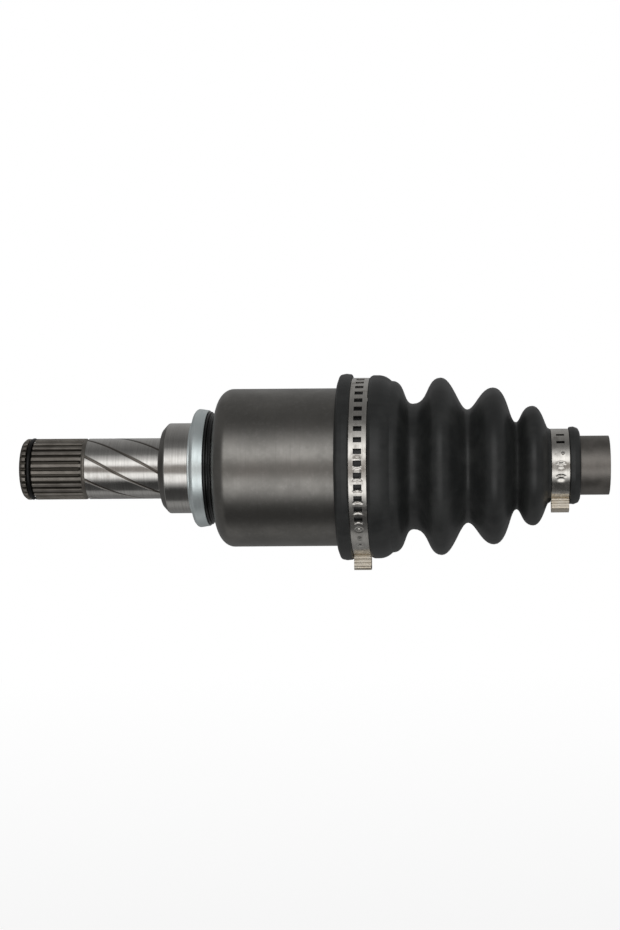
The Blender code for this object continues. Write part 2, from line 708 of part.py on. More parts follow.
def build_spider(steel, joint):
    hub = [
        (-HUB_HALF, 0),
        (-HUB_HALF, HUB_RADIUS - HUB_CHAMFER),
        (-HUB_HALF + HUB_CHAMFER, HUB_RADIUS),
        (HUB_HALF - HUB_CHAMFER, HUB_RADIUS),
        (HUB_HALF, HUB_RADIUS - HUB_CHAMFER),
        (HUB_HALF, 0),
    ]
    spider = lathe("spider", hub, HUB_SIDES, steel, joint)
    clip_bottom = NEEDLE_TOP + GAP + WASHER_THICKNESS
    clip_top = clip_bottom + CLIP_THICKNESS + 2 * GAP
    trunnion = [
        (0.8 * HUB_RADIUS, 0),
        (0.8 * HUB_RADIUS, TRUNNION_RADIUS),
        (clip_bottom, TRUNNION_RADIUS),
        (clip_bottom, TRUNNION_RADIUS - 0.9 * MM),
        (clip_top, TRUNNION_RADIUS - 0.9 * MM),
        (clip_top, TRUNNION_RADIUS),
        (TRUNNION_TIP - 0.4 * MM, TRUNNION_RADIUS),
        (TRUNNION_TIP, TRUNNION_RADIUS - 0.6 * MM),
        (TRUNNION_TIP, 0),
    ]
    for leg in range(LEGS):
        part = lathe(f"trunnion_{leg + 1}_blank", trunnion, TRUNNION_SIDES, steel, joint, "Z")
        part.rotation_euler.x = math.tau * leg / LEGS
        combine(spider, part, "UNION")
    bore = prism("spider_bore_cutter", spider_bore_outline(), -HUB_HALF - GAP, HUB_HALF + GAP, steel, joint)
    combine(spider, bore)
    return spider


def needle_ring(name, look, parent):
    """Full set of needles about Z, fused side by side into one fluted ring."""
    steps = 2 * NEEDLES
    mesh = bmesh.new()
    rings = []
    for step in range(steps):
        angle = math.tau * step / steps
        dip = NEEDLE_VALLEY * (step % 2)
        across = Vector((math.cos(angle), math.sin(angle), 0))
        bottom = Vector((0, 0, ROLLER_BOTTOM + GAP))
        top = Vector((0, 0, NEEDLE_TOP - GAP))
        inner, outer = across * (NEEDLE_INNER + dip), across * (NEEDLE_OUTER - dip)
        rings.append([inner + bottom, outer + bottom, outer + top, inner + top])
    add_loft(mesh, rings + rings[:1])
    return placed(name, mesh, look, parent)


def build_leg(number, joint, steel, bright):
    """Roller, needles, washer and clip of one trunnion, about the local Z of its own empty."""
    angle = math.tau * (number - 1) / LEGS
    axis = empty(f"trunnion_axis_{number}", (0, 0, 0), angle, joint)
    centre = (ROLLER_BOTTOM + ROLLER_TOP) / 2
    half = (ROLLER_TOP - ROLLER_BOTTOM) / 2
    edge = math.degrees(math.asin((half - 0.3 * MM) / ROLLER_SPHERE))
    crown = [(z, r) for r, z in arc((0, centre), ROLLER_SPHERE, -edge, edge, 4)]
    rim = crown[0][1] - 0.5 * MM
    outline = (
        [(ROLLER_BOTTOM, ROLLER_BORE), (ROLLER_BOTTOM, rim)]
        + crown
        + [
            (ROLLER_TOP, rim),
            (ROLLER_TOP, ROLLER_COUNTERBORE),
            (NEEDLE_TOP, ROLLER_COUNTERBORE),
            (NEEDLE_TOP, ROLLER_BORE),
        ]
    )
    lathe(f"roller_{number}", outline, ROLLER_SIDES, bright, axis, "Z")
    needle_ring(f"needle_set_{number}", bright, axis)
    washer = NEEDLE_TOP + GAP
    washer_outline = [
        (washer, NEEDLE_INNER),
        (washer, ROLLER_COUNTERBORE - GAP),
        (washer + WASHER_THICKNESS, ROLLER_COUNTERBORE - GAP),
        (washer + WASHER_THICKNESS, NEEDLE_INNER),
    ]
    lathe(f"needle_washer_{number}", washer_outline, WASHER_SIDES, steel, axis, "Z")
    clip_axis = empty(f"trunnion_clip_axis_{number}", (0, 0, 0), 0, axis)
    clip_axis.rotation_euler = (0, -math.pi / 2, 0)
    clip_x = washer + WASHER_THICKNESS + GAP + CLIP_THICKNESS / 2
    flat_ring(
        f"trunnion_clip_{number}",
        clip_x,
        TRUNNION_RADIUS - 0.6 * MM,
        TRUNNION_RADIUS + 1.6 * MM,
        CLIP_THICKNESS,
        math.radians(70),
        16,
        steel,
        clip_axis,
    )


def cup_outline():
    """Dished cap whose hollow follows the bar's nose, with a stem that centres the spring."""
    edge = math.degrees(math.asin((CUP_RADIUS - 0.5 * MM) / CUP_SPHERE))
    dish = arc((0, 0), CUP_SPHERE, 180, 180 - edge, 4)
    dish[0] = (dish[0][0], 0)
    back = -CUP_SPHERE - CUP_THICKNESS
    return dish + [
        (dish[-1][0], CUP_RADIUS),
        (back + 0.6 * MM, CUP_RADIUS),
        (back, CUP_RADIUS - 0.6 * MM),
        (back, CUP_STEM_RADIUS),
        (back - CUP_STEM + 0.5 * MM, CUP_STEM_RADIUS),
        (back - CUP_STEM, CUP_STEM_RADIUS - 0.5 * MM),
        (back - CUP_STEM, 0),
    ]


def build_spring(look):
    """Conical coil, wide end on the cavity's floor."""
    wire = SPRING_WIRE
    start = CAVITY_FLOOR + wire + GAP
    end = JOINT_X - CUP_SPHERE - CUP_THICKNESS - wire - GAP

    def section(part):
        x = start + (end - start) * part
        radius = SPRING_BASE_RADIUS + (SPRING_TOP_RADIUS - SPRING_BASE_RADIUS) * part
        return circle(x, radius, wire, 5)

    mesh = bmesh.new()
    add_sweep(mesh, section, 0, math.tau * SPRING_TURNS, round(12 * SPRING_TURNS))
    return placed("thrust_spring", mesh, look)


def main():
    for old in list(bpy.data.objects):
        bpy.data.objects.remove(old)

    dark_steel = material("induction_hardened_steel", (0.2, 0.195, 0.19), 0.35, 1.0)
    bar_steel = material("blackened_bar_steel", (0.13, 0.125, 0.12), 0.45, 1.0)
    bright = material("ground_steel", (0.6, 0.6, 0.58), 0.2, 1.0)
    spring_steel = material("spring_steel", (0.06, 0.06, 0.06), 0.4, 1.0)
    stainless = material("stainless_strip", (0.55, 0.54, 0.52), 0.3, 1.0)
    zinc = material("zinc_plate", (0.75, 0.8, 0.88), 0.3, 1.0)
    rubber = material("boot_rubber", (0.02, 0.02, 0.022), 0.55, 0.0)
    seal_rubber = material("seal_rubber", (0.012, 0.012, 0.012), 0.3, 0.0)
    nylon = material("cup_nylon", (0.6, 0.57, 0.48), 0.5, 0.0)

    build_housing(dark_steel)
    snap_ring("stub_clip", CLIP_X, CLIP_RADIUS, CLIP_WIRE, 6, math.radians(24), 28, spring_steel)
    build_dust_shield(zinc)
    build_dust_seal(seal_rubber)
    ring_radius = MOUTH_RING_RADIUS
    snap_ring("mouth_ring", MOUTH_RING_X, ring_radius, MOUTH_RING_WIRE, 6, math.radians(20), 32, spring_steel)
    build_boot(rubber)
    build_clamp(
        "large_boot_clamp",
        LARGE_CLAMP_START,
        LARGE_CLAMP_WIDTH,
        LARGE_CLAMP_RADIUS,
        LARGE_CLAMP_SLOTS,
        LARGE_CLAMP_FIRST_SLOT,
        LARGE_CLAMP_EAR,
        (LARGE_EAR_HEIGHT, LARGE_EAR_LENGTH),
        LARGE_CLAMP_LAP,
        stainless,
    )
    build_spring(spring_steel)

    joint = empty("joint_centre", (JOINT_X, 0, 0))
    lathe("thrust_cup", cup_outline(), CUP_SIDES, nylon, joint)
    build_bar(bar_steel, joint)
    build_spider(bright, joint)
    for number in range(1, LEGS + 1):
        build_leg(number, joint, bright, bright)
    for name, x, radius in (
        ("spider_clip", BAR_CLIP_X, BAR_CLIP_RADIUS),
        ("spider_stop_ring", BAR_STOP_X, BAR_STOP_RADIUS),
    ):
        inner = BAR_RING_ROOT + GAP
        flat_ring(
            name, x - JOINT_X, inner, radius, CLIP_THICKNESS, math.radians(50), 20, spring_steel, joint
        )
    build_clamp(
        "small_boot_clamp",
        SMALL_CLAMP_START,
        SMALL_CLAMP_WIDTH,
        SMALL_CLAMP_RADIUS,
        SMALL_CLAMP_SLOTS,
        SMALL_CLAMP_FIRST_SLOT,
        SMALL_CLAMP_EAR,
        (SMALL_EAR_HEIGHT, SMALL_EAR_LENGTH),
        SMALL_CLAMP_LAP,
        stainless,
    )


main()
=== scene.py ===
"""Looks of the CV axle's inboard half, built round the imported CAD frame.

The axle lies along X, +X towards the wheel, +Z up, and its front faces -Y. Angles about X count
from straight up, towards +Y when positive, so the front is at -90 degrees.
"""

import json
import math
from types import SimpleNamespace

import bpy
import numpy as np
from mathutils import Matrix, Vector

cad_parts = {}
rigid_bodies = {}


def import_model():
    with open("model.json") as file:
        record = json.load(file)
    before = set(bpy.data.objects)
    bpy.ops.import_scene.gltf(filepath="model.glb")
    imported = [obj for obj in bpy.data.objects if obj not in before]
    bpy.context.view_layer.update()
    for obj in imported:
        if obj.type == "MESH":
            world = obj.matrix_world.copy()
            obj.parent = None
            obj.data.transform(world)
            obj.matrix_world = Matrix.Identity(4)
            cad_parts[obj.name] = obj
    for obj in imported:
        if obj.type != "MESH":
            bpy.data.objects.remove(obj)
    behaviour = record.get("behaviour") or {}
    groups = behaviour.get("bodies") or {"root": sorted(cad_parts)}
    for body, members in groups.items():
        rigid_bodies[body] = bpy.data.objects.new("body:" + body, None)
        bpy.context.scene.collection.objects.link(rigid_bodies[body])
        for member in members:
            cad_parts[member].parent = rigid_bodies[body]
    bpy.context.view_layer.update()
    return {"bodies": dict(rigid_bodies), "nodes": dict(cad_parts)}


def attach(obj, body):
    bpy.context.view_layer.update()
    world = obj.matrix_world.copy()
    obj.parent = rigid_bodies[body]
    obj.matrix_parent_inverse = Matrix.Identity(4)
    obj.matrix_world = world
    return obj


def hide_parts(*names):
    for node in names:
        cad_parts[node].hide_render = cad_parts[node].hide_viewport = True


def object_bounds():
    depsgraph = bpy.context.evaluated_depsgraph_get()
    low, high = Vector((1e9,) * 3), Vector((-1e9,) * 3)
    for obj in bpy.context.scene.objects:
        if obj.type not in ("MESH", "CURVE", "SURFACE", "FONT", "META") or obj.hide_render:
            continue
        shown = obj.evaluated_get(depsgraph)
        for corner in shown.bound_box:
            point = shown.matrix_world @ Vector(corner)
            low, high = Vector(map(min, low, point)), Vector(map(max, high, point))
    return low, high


MM = 0.001
TAU = math.tau
WHITE = (1, 1, 1, 1)
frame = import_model()


def measure(node):
    """Start, end and outer radius of a CAD node that is turned about X, read off its top half."""
    points = np.array([v.co for v in frame["nodes"][node].data.vertices])
    top = points[points[:, 2] > 0]
    return points[:, 0].min(), points[:, 0].max(), np.hypot(top[:, 1], top[:, 2]).max()


_, MOUTH_X, HOUSING_RADIUS = measure("tripod_housing")
CLIP_START, CLIP_END, CLIP_OUTER = measure("stub_clip")
SHIELD_START, SHIELD_END, SHIELD_OUTER = measure("dust_shield")
SEAL_START, _, SEAL_OUTER = measure("dust_seal")
MOUTH_RING_START, MOUTH_RING_END, MOUTH_RING_OUTER = measure("mouth_ring")
BOOT_START, BOOT_END, BOOT_OUTER = measure("boot")
LARGE_START, LARGE_END, LARGE_OUTER = measure("large_boot_clamp")
SMALL_START, SMALL_END, SMALL_OUTER = measure("small_boot_clamp")
_, BAR_END, BAR_RADIUS = measure("axle_bar")
SPRING_START, SPRING_END, _ = measure("thrust_spring")

# Splined stub and journals
HOUSING_COLUMNS = 448
SPLINE_ZONE, GROUND_ZONE, FORGED_ZONE = 0, 1, 2
TEETH = 28
TOOTH_RADIUS = 13.5 * MM
TOOTH_ROOT = 12.25 * MM
SPLINE_END = 27.2 * MM
SPLINE_RUN_OUT = 1.4 * MM
NECK_RADIUS = 13.0 * MM
NECK_END = 28.7 * MM
OIL_JOURNAL_RADIUS = 13.45 * MM
OIL_GROOVES = 8
OIL_GROOVE_LEAD = 152 * MM
OIL_GROOVE_FRONT_X = 39.0 * MM
OIL_GROOVE_HALF = 0.64 * MM
OIL_GROOVE_FLOOR = 12.95 * MM
SHOULDER_X = 61 * MM
SEAL_JOURNAL_RADIUS = 20 * MM
CLIP_WIRE = (CLIP_END - CLIP_START) / 2

# Housing's cup
BACK_X = 85.8 * MM
BACK_RADIUS = 25.4 * MM
CORNER_END = 93 * MM
CAVITY_FLOOR = 91.5 * MM
TRACK_FLOOR = 93 * MM
LAND_RADIUS = 19 * MM
RELIEF_START = 133 * MM
RELIEF_RADIUS = 28.4 * MM
TRACK_PITCH = 20.5 * MM
TRACK_RADIUS = 16.2 * MM
TRACK_CEILING = 30.3 * MM

# Boot and the rings round the stub
ROUND_COLUMNS = 192
FOLDS_START = (157 * MM, 40.65 * MM)
FOLDS_END = (232.2 * MM, 16.6 * MM)
BOOT_WALL = 2.0 * MM
LARGE_BAND = LARGE_OUTER - 0.6 * MM
LARGE_BAND_START = LARGE_START + 0.5 * MM
SMALL_BAND = SMALL_OUTER - 0.35 * MM
SEAT_DEPTH = 1.25 * MM
LARGE_SEAT = LARGE_BAND - SEAT_DEPTH
SMALL_SEAT = SMALL_BAND - SEAT_DEPTH
BEND_START = 152 * MM
BEND_END = 222 * MM

# Clamp strips
STRIP = 0.6 * MM
SLOT_CELLS = 15
SLOT_WIDTH = 3.6 * MM
SIDE_STEPS = 5
SLOT_STEPS = 10
EAR_FOOT = 1.2 * MM
EAR_RIDGES = 3
EAR_RIDGE = 0.4 * MM
LAP_RISE = (math.radians(100), math.radians(140))


# ---------------------------------------------------------------- meshes


def make_object(name, points, faces, looks, sharp=35):
    """Links a smooth-shaded mesh. Edges bent by more than `sharp` degrees stay sharp."""
    mesh = bpy.data.meshes.new(name)
    mesh.from_pydata(points.tolist(), [], faces)
    mesh.validate()
    for look in looks:
        mesh.materials.append(look)
    mesh.shade_smooth()
    mesh.set_sharp_from_angle(angle=math.radians(sharp))
    made = bpy.data.objects.new(name, mesh)
    bpy.context.scene.collection.objects.link(made)
    return made


def even_normals(obj):
    """Gives each corner the normal of its largest face, so small fillets don't shade the flats."""
    modifier = obj.modifiers.new("even_normals", "WEIGHTED_NORMAL")
    modifier.keep_sharp = True
    modifier.weight = 60


def faces_inwards(rings):
    """True if a surface's quads, taken ring by ring, wind so that they face its inside."""
    here, beside = rings[:-1], np.roll(rings, -1, 1)[:-1]
    ahead, far = rings[1:], np.roll(rings, -1, 1)[1:]
    first = np.einsum("ijk,ijk->", here, np.cross(beside, far))
    second = np.einsum("ijk,ijk->", here, np.cross(far, ahead))
    return first + second < 0


def skin(name, rings, looks, loop=False, zones=None, sharp=35):
    """Closed surface through rings of points. A loop joins its last ring to its first; otherwise
    both ends get a fan."""
    rings = np.asarray(rings, float)
    count, around = rings.shape[:2]
    points = rings.reshape(-1, 3)
    index = np.arange(count * around).reshape(count, around)
    near = index if loop else index[:-1]
    far = np.roll(index, -1, axis=0) if loop else index[1:]
    quads = np.stack([near, np.roll(near, -1, 1), np.roll(far, -1, 1), far], axis=-1)
    faces = quads.reshape(-1, 4).tolist()
    rows = np.repeat(np.arange(len(near)), around).tolist()
    if not loop:
        for rim, row, turn in ((index[0], 0, 1), (index[-1], count - 1, -1)):
            pole = len(points)
            points = np.vstack([points, points[rim].mean(0)])
            pairs = zip(np.roll(rim, -1).tolist(), rim.tolist())
            faces += [(a, b, pole)[::turn] for a, b in pairs]
            rows += [row] * around
    closed = np.concatenate([rings, rings[:1]]) if loop else rings
    if faces_inwards(closed):
        faces = [face[::-1] for face in faces]
    made = make_object(name, points, faces, looks, sharp)
    if zones is not None:
        made.data.polygons.foreach_set("material_index", [int(zones[row]) for row in rows])
    return made


def ring(x, radii, angles):
    """Points of one ring about X: one radius for all its angles, or one for each."""
    return np.stack([np.full(len(angles), x), radii * np.sin(angles), radii * np.cos(angles)], -1)


def circles(outline, columns):
    """Rings about X through an outline of (x, radius)."""
    angles = TAU * np.arange(columns) / columns
    return [ring(x, radius, angles) for x, radius in outline]


def wire_section(x, reach, angle, wire, steps):
    """Points round a wire of radius `wire`, whose middle is at x and reach, at an angle about X."""
    sides = TAU * np.arange(steps) / steps
    out = reach + wire * np.sin(sides)
    return np.stack([x + wire * np.cos(sides), out * math.sin(angle), out * math.cos(angle)], -1)


def rounded(corners, steps=4):
    """Replaces each corner (a, b, fillet) of an open line with an arc; corners without a fillet stay."""
    made = []
    for i, corner in enumerate(corners):
        here = np.array(corner[:2])
        fillet = corner[2] if len(corner) > 2 else 0
        if fillet <= 0 or i in (0, len(corners) - 1):
            made.append(tuple(here))
            continue
        back = np.array(corners[i - 1][:2]) - here
        ahead = np.array(corners[i + 1][:2]) - here
        reach_back, reach_ahead = np.linalg.norm(back), np.linalg.norm(ahead)
        back, ahead = back / reach_back, ahead / reach_ahead
        half = math.acos(max(-1, min(1, float(back @ ahead)))) / 2
        reach = min(fillet / math.tan(half), 0.49 * reach_back, 0.49 * reach_ahead)
        radius = reach * math.tan(half)
        middle = (back + ahead) / np.linalg.norm(back + ahead)
        centre = here + middle * radius / math.sin(half)
        first, last = here + back * reach - centre, here + ahead * reach - centre
        start = math.atan2(first[1], first[0])
        turn = math.atan2(first[0] * last[1] - first[1] * last[0], float(first @ last))
        for step in range(steps + 1):
            angle = start + turn * step / steps
            made.append(tuple(centre + radius * np.array((math.cos(angle), math.sin(angle)))))
    return made


def turned_ring(name, corners, look):
    """Ring turned about X from its closed outline of (x, radius, fillet)."""
    outline = rounded([corners[-1]] + corners + [corners[0]])[1:-1]
    made = skin(name, circles(outline, ROUND_COLUMNS), [look], loop=True)
    even_normals(made)
    return made


def smoothstep(value, start, end):
    """S curve from 0 at start to 1 at end."""
    part = np.clip((np.asarray(value) - start) / (end - start), 0, 1)
    return part * part * (3 - 2 * part)


def finish_piece(obj, body, slot, *nodes):
    """Puts a piece on its body, in place of the CAD nodes it is drawn for."""
    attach(obj, body)
    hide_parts(*nodes)
    return obj


# ------------------------------------------------------------- materials


class Nodes:
    """Adds linked nodes to a node tree."""

    def __init__(self, tree):
        self.tree = tree

    def put(self, kind, inputs=None, **settings):
        """Adds a node. inputs maps a socket's name or number to a value or to another socket."""
        node = self.tree.nodes.new(kind)
        for key, value in settings.items():
            setattr(node, key, value)
        for key, value in (inputs or {}).items():
            if isinstance(value, bpy.types.NodeSocket):
                self.tree.links.new(value, node.inputs[key])
            else:
                node.inputs[key].default_value = value
        return node

    def maths(self, operation, *values):
        return self.put("ShaderNodeMath", dict(enumerate(values)), operation=operation).outputs[0]

    def spread(self, value, low, high, start=0.0, end=1.0, curve="SMOOTHSTEP"):
        """Maps low..high to start..end, with an S curve unless the curve is LINEAR."""
        inputs = {"Value": value, "From Min": low, "From Max": high, "To Min": start, "To Max": end}
        return self.put("ShaderNodeMapRange", inputs, interpolation_type=curve).outputs["Result"]

    def mix(self, part, first, second):
        """Colour mix. first and second are (r, g, b) or sockets."""
        inputs = {0: part}
        for key, value in ((6, first), (7, second)):
            inputs[key] = value if isinstance(value, bpy.types.NodeSocket) else (*value, 1)
        return self.put("ShaderNodeMix", inputs, data_type="RGBA").outputs[2]


class Graph(Nodes):
    """Node graph of one material, with the position on the object as its coordinates."""

    def __init__(self, name, metallic, roughness=0.5):
        self.material = bpy.data.materials.new(name)
        self.material.use_nodes = True
        super().__init__(self.material.node_tree)
        self.shader = self.tree.nodes["Principled BSDF"]
        self.shader.inputs["Metallic"].default_value = metallic
        self.shader.inputs["Roughness"].default_value = roughness
        self.place = self.put("ShaderNodeTexCoord").outputs["Object"]

    def noise(self, scale, detail=3.0, roughness=0.55, stretch=(1, 1, 1)):
        """Noise from 0 to 1 with `scale` cells to the metre; stretch multiplies that along each axis."""
        inputs = {0: self.place, 1: stretch}
        place = self.put("ShaderNodeVectorMath", inputs, operation="MULTIPLY").outputs[0]
        inputs = {"Vector": place, "Scale": scale, "Detail": detail, "Roughness": roughness}
        return self.put("ShaderNodeTexNoise", inputs).outputs[0]

    def radius(self):
        """Distance from the X axis."""
        flat = self.put("ShaderNodeVectorMath", {0: self.place, 1: (0, 1, 1)}, operation="MULTIPLY")
        return self.put("ShaderNodeVectorMath", {0: flat.outputs[0]}, operation="LENGTH").outputs["Value"]

    def colour(self, socket):
        self.tree.links.new(socket, self.shader.inputs["Base Color"])

    def rough(self, socket):
        self.tree.links.new(socket, self.shader.inputs["Roughness"])

    def bump(self, height, strength, distance):
        inputs = {"Height": height, "Strength": strength, "Distance": distance}
        normal = self.put("ShaderNodeBump", inputs).outputs[0]
        self.tree.links.new(normal, self.shader.inputs["Normal"])


def spline_steel():
    """Satin brown-grey phosphated teeth, with painted shade darkening them down in their spaces."""
    g = Graph("spline_steel", 1.0)
    patches = g.noise(140, 4)
    land = g.mix(g.spread(patches, 0.3, 0.7), (0.36, 0.335, 0.30), (0.25, 0.23, 0.205))
    # Painted shade: the colour darkens towards the floor of each tooth space, set by the distance from
    # the axis.
    height = g.spread(g.radius(), TOOTH_ROOT, TOOTH_RADIUS - 0.2 * MM)
    g.colour(g.mix(height, (0.09, 0.082, 0.07), land))
    streaks = g.noise(900, 2, stretch=(0.05, 1, 1))
    g.rough(g.spread(streaks, 0.2, 0.8, 0.44, 0.58))
    g.bump(streaks, 0.25, 0.05 * MM)
    return g.material


def ground_journal():
    """Bright ground steel with fine lines round it, with dark brown painted shade on the groove floors.
    """
    g = Graph("ground_journal_steel", 1.0)
    lines = g.noise(2600, 2, stretch=(1, 0.02, 0.02))
    stains = g.noise(120, 5, 0.65)
    bright = g.mix(g.spread(lines, 0.3, 0.7), (0.60, 0.585, 0.56), (0.50, 0.487, 0.465))
    bright = g.mix(g.spread(stains, 0.55, 0.8), bright, (0.42, 0.395, 0.365))
    # Painted shade: dark brown on the oil grooves' floors, set by the distance from the axis.
    floor = g.spread(g.radius(), OIL_GROOVE_FLOOR + 0.05 * MM, OIL_JOURNAL_RADIUS - 0.06 * MM)
    g.colour(g.mix(floor, (0.17, 0.153, 0.135), bright))
    g.rough(g.spread(stains, 0.3, 0.75, 0.15, 0.24))
    g.bump(lines, 0.12, 0.02 * MM)
    return g.material


def hardened_steel():
    """Dark satin cup with cloudy quench patches and faint turning lines."""
    g = Graph("hardened_housing_steel", 1.0)
    clouds = g.noise(55, 5, 0.6)
    fine = g.noise(420, 4, 0.7)
    lines = g.noise(1500, 2, stretch=(1, 0.03, 0.03))
    base = g.mix(g.spread(clouds, 0.35, 0.68), (0.215, 0.208, 0.194), (0.262, 0.252, 0.235))
    worn = g.maths("MULTIPLY", g.spread(fine, 0.45, 0.8), 0.5)
    base = g.mix(worn, base, (0.315, 0.305, 0.288))
    scored = g.maths("MULTIPLY", g.spread(lines, 0.55, 0.8), 0.25)
    g.colour(g.mix(scored, base, (0.15, 0.145, 0.135)))
    g.rough(g.spread(clouds, 0.3, 0.75, 0.36, 0.28))
    g.bump(g.maths("ADD", g.maths("MULTIPLY", fine, 0.6), lines), 0.12, 0.04 * MM)
    return g.material


def zinc_plate():
    """Pale blue-white zinc with soft cloudy passivation."""
    g = Graph("zinc_plate", 0.8)
    clouds = g.noise(90, 4, 0.6)
    grain = g.noise(1800, 2, stretch=(1, 0.05, 0.05))
    base = g.mix(g.spread(clouds, 0.35, 0.7), (0.80, 0.885, 0.89), (0.90, 0.965, 0.97))
    tinge = g.maths("MULTIPLY", g.spread(clouds, 0.55, 0.75), 0.35)
    g.colour(g.mix(tinge, base, (0.72, 0.87, 0.85)))
    g.rough(g.spread(grain, 0.2, 0.8, 0.30, 0.42))
    g.bump(grain, 0.08, 0.03 * MM)
    return g.material


def rubber(name, dark, light, low, high, grain=0.06):
    """Moulded rubber: slight bloom in clouds and a fine mould grain."""
    g = Graph(name, 0.0)
    bloom = g.noise(70, 5, 0.62)
    pores = g.noise(2600, 3, 0.6)
    smears = g.noise(160, 3, 0.6, stretch=(0.4, 1, 1))
    g.colour(g.mix(g.spread(g.maths("MULTIPLY", bloom, smears), 0.12, 0.42), dark, light))
    g.rough(g.spread(bloom, 0.3, 0.75, low, high))
    g.bump(pores, grain, 0.12 * MM)
    return g.material


def pinched_stainless():
    """The crimped ear: duller, with a straw tint."""
    g = Graph("pinched_stainless", 0.9)
    smudges = g.noise(260, 4, 0.6)
    g.colour(g.mix(g.spread(smudges, 0.3, 0.7), (0.66, 0.585, 0.47), (0.80, 0.745, 0.65)))
    g.rough(g.spread(smudges, 0.3, 0.7, 0.36, 0.46))
    return g.material


def stainless():
    """Rolled stainless strip with lines along it, thumbed and smudged."""
    g = Graph("stainless_strip", 1.0)
    lines = g.noise(2200, 2, stretch=(1, 0.06, 0.06))
    smudges = g.noise(230, 4, 0.6)
    base = g.mix(g.spread(lines, 0.25, 0.75), (0.66, 0.64, 0.60), (0.56, 0.54, 0.505))
    dirt = g.maths("MULTIPLY", g.spread(smudges, 0.55, 0.72), 0.6)
    g.colour(g.mix(dirt, base, (0.27, 0.25, 0.22)))
    g.rough(g.spread(smudges, 0.35, 0.7, 0.17, 0.34))
    g.bump(lines, 0.15, 0.02 * MM)
    return g.material


def worked_steel(name, base, low, high, lines_along_x=False):
    """Turned or ground steel with cloudy tone and roughness, low to high."""
    g = Graph(name, 1.0)
    clouds = g.noise(160, 4, 0.6)
    stretch = (0.04, 1, 1) if lines_along_x else (1, 0.04, 0.04)
    lines = g.noise(1700, 2, stretch=stretch)
    lighter = tuple(1.35 * c for c in base)
    g.colour(g.mix(g.spread(clouds, 0.3, 0.7), base, lighter))
    g.rough(g.spread(clouds, 0.3, 0.7, low, high))
    g.bump(lines, 0.2, 0.03 * MM)
    return g.material


def nylon():
    """Natural nylon with a faint moulded mottle."""
    g = Graph("moulded_nylon", 0.0, 0.45)
    mottle = g.noise(300, 4)
    g.colour(g.mix(g.spread(mottle, 0.3, 0.7), (0.62, 0.58, 0.48), (0.53, 0.49, 0.40)))
    g.bump(mottle, 0.1, 0.05 * MM)
    return g.material


# --------------------------------------------------------------- housing


def tooth_depth(angles):
    """1 in the middle of a tooth space, 0 on a tooth's land."""
    across = np.abs((angles * TEETH / TAU + 0.5) % 1 - 0.5)
    return 1 - smoothstep(across, 0.125, 0.285)


def oil_groove_depth(angles, x):
    """1 on the floor of a right-hand oil groove, 0 on the journal."""
    turns = angles / TAU + 0.25 + (x - OIL_GROOVE_FRONT_X) / OIL_GROOVE_LEAD
    across = np.abs((turns * OIL_GROOVES + 0.5) % 1 - 0.5) / OIL_GROOVES * TAU * OIL_JOURNAL_RADIUS
    return 1 - smoothstep(across, 0.45 * OIL_GROOVE_HALF, 1.2 * OIL_GROOVE_HALF)


def track_radius(angles):
    """Radius of the three roller tracks' wall at each angle, 0 between them."""
    off = np.abs((angles + TAU / 6) % (TAU / 3) - TAU / 6)
    inside = TRACK_RADIUS**2 - (TRACK_PITCH * np.sin(off)) ** 2
    reach = TRACK_PITCH * np.cos(off) + np.sqrt(np.maximum(inside, 0))
    return np.where(inside > 0, np.minimum(reach, TRACK_CEILING), 0)


def stub_outline():
    """Corners (x, radius, fillet) and the zone of the surface that follows each one."""
    clip = (CLIP_START + CLIP_END) / 2
    half = CLIP_WIRE + 0.5 * MM
    groove_floor = 11.6 * MM
    spline, ground, forged = SPLINE_ZONE, GROUND_ZONE, FORGED_ZONE
    return [
        ((0, 2.6 * MM, 0.2 * MM), spline),
        ((0, 12.3 * MM, 0.8 * MM), spline),
        ((1.3 * MM, TOOTH_RADIUS, 1.0 * MM), spline),
        ((clip - half, TOOTH_RADIUS, 0.12 * MM), spline),
        ((clip - half, groove_floor, 0.3 * MM), spline),
        ((clip + half, groove_floor, 0.3 * MM), spline),
        ((clip + half, TOOTH_RADIUS, 0.12 * MM), spline),
        ((SPLINE_END, TOOTH_RADIUS, 0.2 * MM), spline),
        ((SPLINE_END + 0.5 * MM, NECK_RADIUS, 0.2 * MM), spline),
        ((NECK_END - 0.3 * MM, NECK_RADIUS, 0.1 * MM), spline),
        ((NECK_END, OIL_JOURNAL_RADIUS, 0.1 * MM), ground),
        ((SHOULDER_X, OIL_JOURNAL_RADIUS, 0.25 * MM), forged),
        ((SHOULDER_X + 0.8 * MM, 17.2 * MM, 1.3 * MM), forged),
        ((SHOULDER_X + 3.3 * MM, SEAL_JOURNAL_RADIUS, 1.3 * MM), ground),
        ((BACK_X, SEAL_JOURNAL_RADIUS, 0.3 * MM), forged),
    ]


def cup_outline():
    """The cup's back, its big rounded corner, the groove under the boot and the mouth."""
    steps = 12
    corner = []
    for i in range(steps + 1):
        angle = TAU / 4 * i / steps
        x = CORNER_END - (CORNER_END - BACK_X) * math.cos(angle)
        corner.append((x, BACK_RADIUS + (HOUSING_RADIUS - BACK_RADIUS) * math.sin(angle)))
    root = HOUSING_RADIUS - 1 * MM
    groove_start, groove_end = 147.5 * MM, 151.1 * MM
    slope = 0.4 * MM
    outline = corner + [
        (groove_start, HOUSING_RADIUS, 0.2 * MM),
        (groove_start + slope, root, 0.2 * MM),
        (groove_end - slope, root, 0.2 * MM),
        (groove_end, HOUSING_RADIUS, 0.2 * MM),
        (MOUTH_X - 1.2 * MM, HOUSING_RADIUS, 0.4 * MM),
        (MOUTH_X, HOUSING_RADIUS - 1.2 * MM, 0.4 * MM),
        (MOUTH_X, RELIEF_RADIUS),
    ]
    return [(corner, FORGED_ZONE) for corner in outline]


